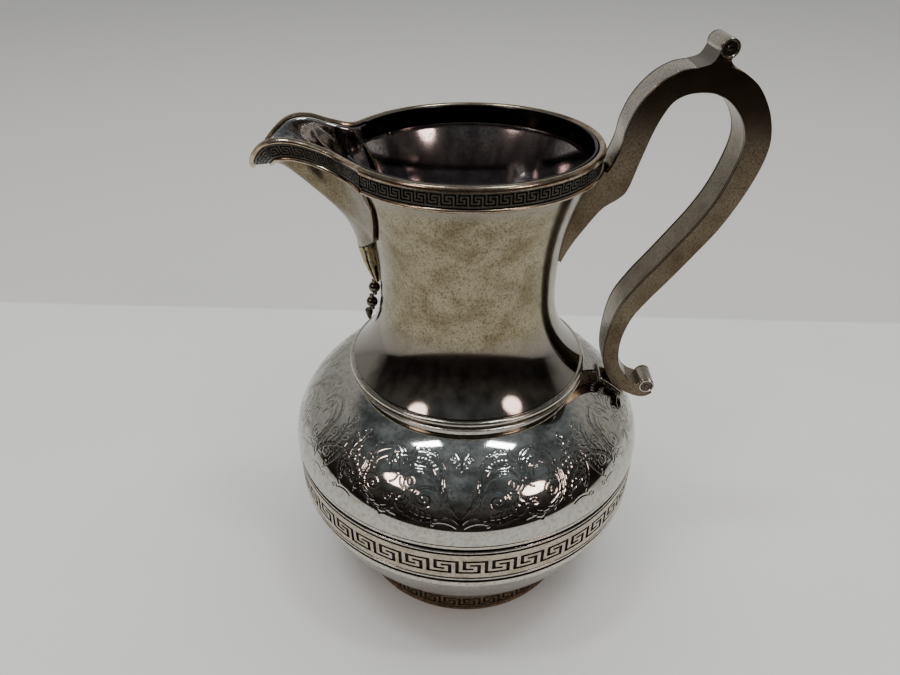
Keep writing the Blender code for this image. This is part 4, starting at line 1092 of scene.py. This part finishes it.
finish_piece("drop_point", spun(point, closed=False, steps=40, centre=AXIS + Vector((-away, 0, 0))),
             [dark_bead], ["drop_tip"])

# ------------------------------------------------------------------ Handle
# A hollow box of sheet silver: two side plates with a strip along each edge, soldered to the neck and,
# on a thin seat, to the shoulder. Held for years: brushed and brown-grey. Its top strip is painted
# lighter, as if lit from above, its side plates are painted darker, as if in shade, and the back and
# loop strips are painted between the two.
HANDLE_REACH = 0.1279
HANDLE_HALF_WIDTH = 0.0100
HANDLE_END_HALF_WIDTH = 0.0073
HANDLE_PLATE = 0.0014
HANDLE_NARROWING = 0.32
BRACKET_DEPTH = 0.0445
BRACKET_DROP = 0.0016
BRACKET_BLEND = 0.0006
HANDLE_RISE = 0.0335
HANDLE_FOOT_LEVEL = 0.70
# The handle's two edges in pairs, outer then inner, as shares from the rim to the handle's reach and
# from its foot to its top.
HANDLE_EDGES = (
    (0.012, 0.732, 0.161, 0.684), (0.074, 0.792, 0.210, 0.758), (0.096, 0.847, 0.266, 0.838),
    (0.152, 0.904, 0.318, 0.888), (0.251, 0.954, 0.365, 0.914), (0.370, 0.984, 0.429, 0.928),
    (0.500, 0.994, 0.500, 0.933), (0.566, 1.0085, 0.550, 0.933), (0.636, 1.0085, 0.592, 0.931),
    (0.655, 0.996, 0.620, 0.927), (0.740, 0.981, 0.675, 0.917), (0.850, 0.948, 0.735, 0.897),
    (0.940, 0.895, 0.795, 0.866), (0.990, 0.840, 0.833, 0.828), (1.000, 0.792, 0.840, 0.790),
    (0.972, 0.730, 0.818, 0.738), (0.908, 0.655, 0.763, 0.665), (0.821, 0.578, 0.685, 0.599),
    (0.720, 0.512, 0.590, 0.537), (0.561, 0.415, 0.441, 0.447), (0.447, 0.349, 0.328, 0.380),
    (0.345, 0.279, 0.223, 0.298), (0.296, 0.195, 0.182, 0.197), (0.306, 0.116, 0.187, 0.112),
    (0.352, 0.066, 0.235, 0.052),
)
BRACKET_EDGE = ((0, 0.0012), (0.2, 0.0034), (0.42, 0.0062), (0.7, 0.0098))
HANDLE_HEEL = ((0.405, 0.035, 0.76), (0.452, 0.018, 0.66))
TOE_TURNS = ((175, 216, 0.0058), (215, 234, 0.0044), (245, 253, 0.0035), (280, 277, 0.0027),
             (312, 310, 0.0018))
FRONT_STRIP_PAIRS = (0, 7)
BACK_STRIP_PAIRS = (9, 24)
TOP_SCROLL_RADIUS = 0.0039
LOWER_SCROLL_RADIUS = 0.0042
TOP_SCROLL_PLACE = 0.6245
TOP_SCROLL_STEM = 0.0019
LOWER_SCROLL_PLACE = 0.571
LOWER_SCROLL_STEM = 0.0012
CAP_THICKNESS = 0.0010
SEAT_THICKNESS = 0.0010
RUN_STEPS = 6

rim_radius = rim_outside + RIM_WIRE_DEPTH
handle_base = shoulder_low + HANDLE_FOOT_LEVEL * shoulder_height
handle_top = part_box("rim_top_wire")[1].z + HANDLE_RISE
# Painted shade: a dark copy of the brushed silver, for the side plates and the top scroll's stem, as if
# in shade.
brushed_side_painted_shade = silver("brushed_side_painted_shade", "#6e6353", "#4f4334", "#352b21", (0.12, 0.22), 22, 0.5, 0.22,
                      grain=(0.5, 1, 0.5), bump=0.000008)
# Painted light: a light copy of the same silver, for the top strip, the scroll rolls and the disc rims,
# as if lit from above.
brushed_strip_painted_light = silver("brushed_strip_painted_light", "#c2bbad", "#9c9283", "#756a5a", (0.14, 0.26), 18, 0.6, 0.16,
                       grain=(1, 0.4, 1), bump=0.000008)
# Painted half shade: a copy between the two, for the back strip, the loop strip and the lower lap.
brushed_strip_painted_half_shade = silver("brushed_strip_painted_half_shade", "#8f8574", "#6d614f", "#4b4031", (0.14, 0.26), 18, 0.6, 0.2,
                    grain=(1, 0.4, 1), bump=0.000008)


def handle_half_width(height):
    """Half the handle's width: it narrows below the middle, towards its foot."""
    narrow_from = handle_base + HANDLE_NARROWING * (handle_top - handle_base)
    share = min(max((height - handle_base) / (narrow_from - handle_base), 0), 1)
    share = share * share * (3 - 2 * share)
    return HANDLE_END_HALF_WIDTH + (HANDLE_HALF_WIDTH - HANDLE_END_HALF_WIDTH) * share


def handle_place(across, up):
    return Vector((rim_radius + (HANDLE_REACH - rim_radius) * across, 0,
                   handle_base + (handle_top - handle_base) * up))


def beside_neck(height):
    """How far out a side plate starts, just inside the neck's surface."""
    return math.sqrt((neck_radius(height) - GAP) ** 2 - HANDLE_HALF_WIDTH ** 2)


def shoulder_radius(height):
    share = (height - shoulder_low) / shoulder_full
    return SHOULDER_CENTRE + shoulder_reach * (1 - share ** SHOULDER_POWER) ** (1 / SHOULDER_POWER)


outer_edge = [handle_place(a, b) for a, b, _, _ in HANDLE_EDGES]
inner_edge = [handle_place(a, b) for _, _, a, b in HANDLE_EDGES]
bracket_low = neck_top - BRACKET_DEPTH
bracket = []
for share, reach in BRACKET_EDGE:
    height = bracket_low + (neck_top - bracket_low) * share
    bracket.append((Vector((beside_neck(height), 0, height)),
                    Vector((beside_neck(height) + reach, 0, height - BRACKET_DROP * (1 + 3 * share)))))
height = neck_top - 2 * GAP
bracket.append((Vector((beside_neck(height), 0, height)), inner_edge[0].lerp(bracket[-1][1], 0.42)
                + Vector((BRACKET_BLEND, 0, -BRACKET_BLEND))))
top_centre = handle_place(TOP_SCROLL_PLACE, 1) + Vector((0, 0, TOP_SCROLL_RADIUS + TOP_SCROLL_STEM))
lower_centre = handle_place(LOWER_SCROLL_PLACE, 0) + Vector((0, 0, LOWER_SCROLL_STEM))
toe = []
for across, up, share in HANDLE_HEEL:
    level = shoulder_low + shoulder_height * share
    toe.append((handle_place(across, up),
                Vector((shoulder_radius(level) + SEAT_THICKNESS + 5 * GAP, 0, level))))
clear = LOWER_SCROLL_RADIUS - GAP
for upper_angle, lower_angle, depth in TOE_TURNS:
    upper, lower = (Vector((math.cos(math.radians(turn)), 0, math.sin(math.radians(turn))))
                    for turn in (upper_angle, lower_angle))
    toe.append((lower_centre + upper * clear, lower_centre + lower * (clear + depth)))
pairs = bracket + list(zip(outer_edge, inner_edge)) + toe
outer_line, inner_line = [pair[0] for pair in pairs], [pair[1] for pair in pairs]


def smooth_run(points, first, last):
    """Even points on the smooth curve through the points, from one place to another."""
    count = round((last - first) * RUN_STEPS)
    return [smooth_between(points, first + (last - first) * k / count) for k in range(count + 1)]


def soft_edges(piece, width):
    """Eases the sharp corners of a sheet as brushing does."""
    ease = piece.modifiers.new("Ease", "BEVEL")
    ease.width, ease.segments, ease.limit_method = width, 2, "ANGLE"
    ease.angle_limit = math.radians(50)
    ease.harden_normals = True
    return piece


PLATE_ROWS = 4
PLATE_EASE = 0.0003
STRIP_EASE = 0.00025
outer_run, inner_run = (smooth_run(line, 0, len(pairs) - 1) for line in (outer_line, inner_line))
for side, label in ((-1, "near"), (1, "far")):
    rows = [[Vector((p.x, side * (handle_half_width(p.z) - HANDLE_PLATE / 2), p.z))
             for p in (a.lerp(b, k / PLATE_ROWS) for a, b in zip(outer_run, inner_run))]
            for k in range(PLATE_ROWS + 1)]
    plate = grid_through(rows if side < 0 else rows[::-1])
    if plate.faces[0].normal.y * side < 0:
        bmesh.ops.reverse_faces(plate, faces=plate.faces)
    # The side plates take the silver painted dark, as if in shade.
    plate = finish_piece("handle_side_" + label, plate, [brushed_side_painted_shade],
                         ["handle_plate_" + label])
    soft_edges(give_thickness(plate, HANDLE_PLATE, offset=0), PLATE_EASE)


def edge_strip(name, run, face_out, node, material):
    """A strip between the plates; face_out says which way its show side faces across the run."""
    steps = 6
    rows = [[Vector((p.x, side * (handle_half_width(p.z) - HANDLE_PLATE - GAP), p.z)) for p in run]
            for side in (-1 + 2 * k / steps for k in range(steps + 1))]
    bm = grid_through(rows)
    middle = bm.faces[len(bm.faces) // 2]
    if middle.normal.dot(face_out(middle.calc_center_median())) < 0:
        bmesh.ops.reverse_faces(bm, faces=bm.faces)
    piece = finish_piece(name, bm, [material], [node])
    return soft_edges(give_thickness(piece, HANDLE_PLATE), STRIP_EASE)


loop_middle = AXIS + handle_place(0.52, 0.66)
root = len(bracket)
front = smooth_run(outer_line, root + FRONT_STRIP_PAIRS[0], root + FRONT_STRIP_PAIRS[1])
back = smooth_run(outer_line, root + BACK_STRIP_PAIRS[0], root + BACK_STRIP_PAIRS[1] + 2)
under = smooth_run(inner_line, 1, root + len(HANDLE_EDGES) - 0.5)
# The top strip takes the silver painted light; the back and loop strips take the one painted a half
# shade darker.
edge_strip("handle_top_strip", front, lambda p: p - loop_middle, "handle_front_strip", brushed_strip_painted_light)
edge_strip("handle_outer_strip", back, lambda p: p - loop_middle, "handle_back_strip", brushed_strip_painted_half_shade)
edge_strip("handle_loop_strip", under, lambda p: loop_middle - p, "handle_inner_strip", brushed_strip_painted_half_shade)

# ------------------------------------------------------------------ Scrolls and seat
# The strip's ends are rolled into scrolls, closed with discs that carry a proud ring. The seat is a thin
# saddle that spreads the handle's pull over the shoulder.
scroll_dark = silver("scroll_dark", "#5f5850", "#3b352e", "#241f1a", (0.14, 0.3), 4, 0.8, 0.15)


def spun_across(profile, centre, steps=64):
    """Spins a profile of (radius, distance along Y) about an axis across the handle."""
    bm = spun(profile, closed=False, steps=steps, centre=Vector((0, 0, 0)))
    bmesh.ops.rotate(bm, verts=bm.verts, cent=(0, 0, 0), matrix=Matrix.Rotation(-math.pi / 2, 3, "X"))
    bmesh.ops.translate(bm, vec=AXIS + centre, verts=bm.verts)
    bmesh.ops.recalc_face_normals(bm, faces=bm.faces)
    return bm


for name, centre, radius in (("top_scroll", top_centre, TOP_SCROLL_RADIUS),
                             ("lower_scroll", lower_centre, LOWER_SCROLL_RADIUS)):
    half = handle_half_width(centre.z)
    roll_half = half - CAP_THICKNESS - GAP
    ease = 0.0003
    roll = [(0, roll_half), (radius - ease, roll_half), (radius, roll_half - ease),
            (radius, -roll_half + ease), (radius - ease, -roll_half), (0, -roll_half)]
    # The rolls take the silver painted light.
    finish_piece(name + "_roll", spun_across(roll, centre), [brushed_strip_painted_light], [name])
    for side, label in ((-1, "near"), (1, "far")):
        outer_face, inner_face = side * half, side * (half - CAP_THICKNESS)
        dish = side * (half - 0.00055)
        ring = [(0, inner_face), (radius, inner_face), (radius, outer_face - side * ease),
                (radius - ease, outer_face), (radius * 0.80, outer_face),
                (radius * 0.70, dish), (radius * 0.34, dish),
                (radius * 0.24, outer_face - side * 0.0002), (0, outer_face - side * 0.0001)]
        cap = spun_across(ring, centre)
        for face in cap.faces:
            away = face.calc_center_median() - AXIS - centre
            if math.hypot(away.x, away.z) < radius * 0.74:
                face.material_index = 1
        # The disc's rim takes the silver painted light.
        finish_piece(name + "_disc_" + label, cap, [brushed_strip_painted_light, scroll_dark],
                     [name + "_cap_" + label])


def across_handle(name, outline, half, material):
    """A solid of this outline, as wide as the handle, with its edges eased."""
    bm = bmesh.new()
    face = bm.faces.new([bm.verts.new(AXIS + Vector((p.x, -half, p.z))) for p in outline])
    lifted = bmesh.ops.extrude_face_region(bm, geom=[face])["geom"]
    bmesh.ops.translate(bm, vec=(0, 2 * half, 0),
                        verts=only_verts(lifted))
    bmesh.ops.recalc_face_normals(bm, faces=bm.faces)
    return soft_edges(finish_piece(name, bm, [material], []), STRIP_EASE)


def on_scroll(turn, centre=top_centre, radius=TOP_SCROLL_RADIUS - 0.0004):
    angle = math.radians(turn)
    return centre + Vector((math.cos(angle), 0, math.sin(angle))) * radius


# The strip sweeps up off the handle's top and rolls over; this is the neck that carries the roll.
STEM_LEFT, STEM_RIGHT = 0.0105, 0.0040
on_top = [point for point in outer_run if point.z >= handle_top - 0.02]
left_foot = min(on_top, key=lambda p: abs(p.x - top_centre.x + STEM_LEFT))
right_foot = min(on_top, key=lambda p: abs(p.x - top_centre.x - STEM_RIGHT))
hollow = left_foot.lerp(on_scroll(215), 0.5) - Vector((-0.0010, 0, 0.0008))
left_curve = [left_foot, hollow, on_scroll(195)]
right_curve = [on_scroll(305), on_scroll(290) + Vector((0.0002, 0, -0.0012)), right_foot]
stem = [smooth_between(left_curve, k / 8) for k in range(17)]
stem += [on_scroll(turn) for turn in range(215, 305, 15)]
stem += [smooth_between(right_curve, k / 6) for k in range(13)]
below = Vector((0, 0, -0.0012))
stem += [right_foot + below, left_foot + below]
# The stem takes the silver painted dark, as if in shade.
across_handle("top_scroll_stem", stem, handle_half_width(top_centre.z) - 0.0001, brushed_side_painted_shade)

# The toe's sheet laps up against the lower roll.
web = [toe[0][0], toe[1][0] + Vector((0, 0, 0.0006))]
web += [on_scroll(turn, lower_centre, LOWER_SCROLL_RADIUS - 0.0004) for turn in (168, 190, 215, 245)]
web += [pair[0] + below for pair in toe[3:1:-1]] + [toe[1][0] + below, toe[0][0] + below]
# The lap takes the silver painted a half shade darker.
across_handle("lower_scroll_lap", web, handle_half_width(lower_centre.z) - 0.0002, brushed_strip_painted_half_shade)

SEAT_SPAN = (0.56, 0.86)
rows = []
for k in range(17):
    share = SEAT_SPAN[0] + (SEAT_SPAN[1] - SEAT_SPAN[0]) * k / 16
    height = shoulder_low + shoulder_height * share
    reach = shoulder_radius(height) + 2 * GAP
    ends = HANDLE_END_HALF_WIDTH
    rows.append([Vector((math.sqrt(reach ** 2 - y ** 2), y, height))
                 for y in (-ends + 2 * ends * j / 12 for j in range(13))])
seat = grid_through(rows)
if seat.faces[0].normal.x < 0:
    bmesh.ops.reverse_faces(seat, faces=seat.faces)
give_thickness(finish_piece("handle_foot_seat", seat, [rubbed_reed], ["handle_seat"]),
               SEAT_THICKNESS, offset=1)

# ------------------------------------------------------------------ Table, light and camera
# A pale table top in a dim room, two lamp tubes overhead and small warm lamps further off, which is
# what polished silver needs to look like silver.
TABLE_BACK = 0.255
EYE = Vector((-0.00814, -0.29006, 0.3458))
PITCH = math.radians(34.44)
YAW = math.radians(2.78)
ROLL = math.radians(-0.14)
LENS = 25.996
TABLE_FRONT = -0.85
TABLE_SIDE = 4.0

table_paint = bpy.data.materials.new("pale_table")
table_paint.use_nodes = True
tree = table_paint.node_tree
shader = tree.nodes["Principled BSDF"]
shader.inputs["Roughness"].default_value = 0.55
place = add(tree, "ShaderNodeTexCoord").outputs["Object"]
depth = add(tree, "ShaderNodeSeparateXYZ", None, {0: place}).outputs["Y"]
beyond = add(tree, "ShaderNodeMapRange", {"From Min": TABLE_BACK, "From Max": TABLE_BACK + 0.004},
             {"Value": depth}).outputs[0]
mottle = add(tree, "ShaderNodeTexNoise", {"Scale": per_mm(120), "Detail": 3}, {"Vector": place})
worn = add(tree, "ShaderNodeMix", {MIX_A: linear("#dcdcd8"), MIX_B: linear("#e4e4e1")},
           {0: mottle.outputs["Fac"]}, data_type="RGBA").outputs[MIX_RESULT]
ground = add(tree, "ShaderNodeMix", {MIX_B: linear("#cdcbc7")}, {0: beyond, MIX_A: worn},
             data_type="RGBA").outputs[MIX_RESULT]
tree.links.new(ground, shader.inputs["Base Color"])
bm = bmesh.new()
bmesh.ops.create_grid(bm, x_segments=1, y_segments=1, size=TABLE_SIDE)
bmesh.ops.translate(bm, vec=(0, TABLE_FRONT + TABLE_SIDE, -0.0001), verts=bm.verts)
mesh = bpy.data.meshes.new("table")
bm.to_mesh(mesh)
bm.free()
mesh.materials.append(table_paint)
table = bpy.data.objects.new("table", mesh)
bpy.context.scene.collection.objects.link(table)

world = bpy.data.worlds.new("dim_room")
bpy.context.scene.world = world
world.use_nodes = True
tree = world.node_tree
tree.nodes.clear()
toward = add(tree, "ShaderNodeTexCoord").outputs["Generated"]
height = add(tree, "ShaderNodeSeparateXYZ", None, {0: toward}).outputs["Z"]
rise = add(tree, "ShaderNodeMapRange", {"From Min": -0.05, "From Max": 0.95, "To Min": 0.0,
                                        "To Max": 1.0}, {"Value": height}).outputs[0]
room = add(tree, "ShaderNodeValToRGB", None, {0: rise})
ramp = room.color_ramp
ramp.elements[0].color = linear("#2b2623")
ramp.elements[1].color = linear("#787e82")
for spot, colour in ((0.25, "#2a2627"), (0.48, "#4e4b48"), (0.70, "#5b6063")):
    ramp.elements.new(spot).color = linear(colour)
blots = add(tree, "ShaderNodeTexNoise", {"Scale": 5.5, "Detail": 4, "Roughness": 0.6},
            {"Vector": toward}).outputs["Fac"]
patchy = add(tree, "ShaderNodeMapRange", {"From Min": 0.35, "From Max": 0.68, "To Min": 0.55,
                                          "To Max": 1.7}, {"Value": blots}).outputs[0]
# The paper behind the table, low down and round to the sides.
behind = add(tree, "ShaderNodeSeparateXYZ", None, {0: toward}).outputs["Y"]
back_side = add(tree, "ShaderNodeMapRange", {"From Min": 0.05, "From Max": 0.35},
                {"Value": behind}).outputs[0]
paper = add(tree, "ShaderNodeMapRange", {"From Min": 0.70, "From Max": 0.55},
            {"Value": height, "To Max": back_side}).outputs[0]
walls = add(tree, "ShaderNodeMix", {MIX_B: linear("#c4c3bf")},
            {0: paper, MIX_A: room.outputs["Color"]}, data_type="RGBA").outputs[MIX_RESULT]
even = add(tree, "ShaderNodeMapRange", {"To Max": 0.8}, {"Value": paper, "To Min": patchy}).outputs[0]
dim = add(tree, "ShaderNodeBackground", None, {"Color": walls, "Strength": even})
pale = add(tree, "ShaderNodeBackground", {"Color": linear("#d5d4d0"), "Strength": 0.9})
seen = add(tree, "ShaderNodeLightPath").outputs["Is Camera Ray"]
either = add(tree, "ShaderNodeMixShader", None, {0: seen, 1: dim.outputs[0], 2: pale.outputs[0]})
add(tree, "ShaderNodeOutputWorld", None, {"Surface": either.outputs[0]})


def lamp(name, place, aim, width, length, power, colour, shape="RECTANGLE", seen_in_metal=True):
    """An area light that faces a point."""
    light = bpy.data.lights.new(name, "AREA")
    light.shape = shape
    light.size, light.size_y = width, length
    light.energy = power
    light.color = linear(colour)[:3]
    obj = bpy.data.objects.new(name, light)
    bpy.context.scene.collection.objects.link(obj)
    place = Vector(place)
    obj.location = place
    obj.rotation_euler = (Vector(aim) - place).to_track_quat("-Z", "Y").to_euler()
    obj.visible_glossy = seen_in_metal
    return obj


lamp("soft_overhead", (0, 0.1, 1.9), (0, 0, 0), 2.6, 2.2, 20, "#fbfaf7", seen_in_metal=False)
lamp("tube_left", (-0.58, -0.16, 2.1), (0, 0, 0.1), 0.14, 0.42, 6, "#f1fbff")
lamp("tube_right", (0.52, -0.12, 2.1), (0, 0, 0.1), 0.14, 0.42, 6, "#f1fbff")
lamp("window_left", (-1.42, -1.28, 1.65), (0, 0, 0.12), 0.62, 0.40, 7, "#ffe4dc", "ELLIPSE")
lamp("window_right", (1.50, -1.36, 1.48), (0, 0, 0.12), 0.62, 0.44, 7, "#ffe4dc", "ELLIPSE")
daylight = bpy.data.objects.new("daylight", bpy.data.lights.new("daylight", "SUN"))
bpy.context.scene.collection.objects.link(daylight)
daylight.data.energy = 1.15
daylight.data.angle = math.radians(100)
daylight.rotation_euler = (math.radians(-8), math.radians(6), 0)
daylight.visible_glossy = False

camera = bpy.data.objects.new("camera", bpy.data.cameras.new("camera"))
bpy.context.scene.collection.objects.link(camera)
camera.data.sensor_width = 36
camera.data.lens = LENS
camera.location = EYE
camera.rotation_mode = "QUATERNION"
tilt = Matrix.Rotation(math.pi / 2 - PITCH, 4, "X")
camera.rotation_quaternion = (Matrix.Rotation(YAW, 4, "Z") @ tilt
                              @ Matrix.Rotation(ROLL, 4, "Z")).to_quaternion()
bpy.context.scene.camera = camera
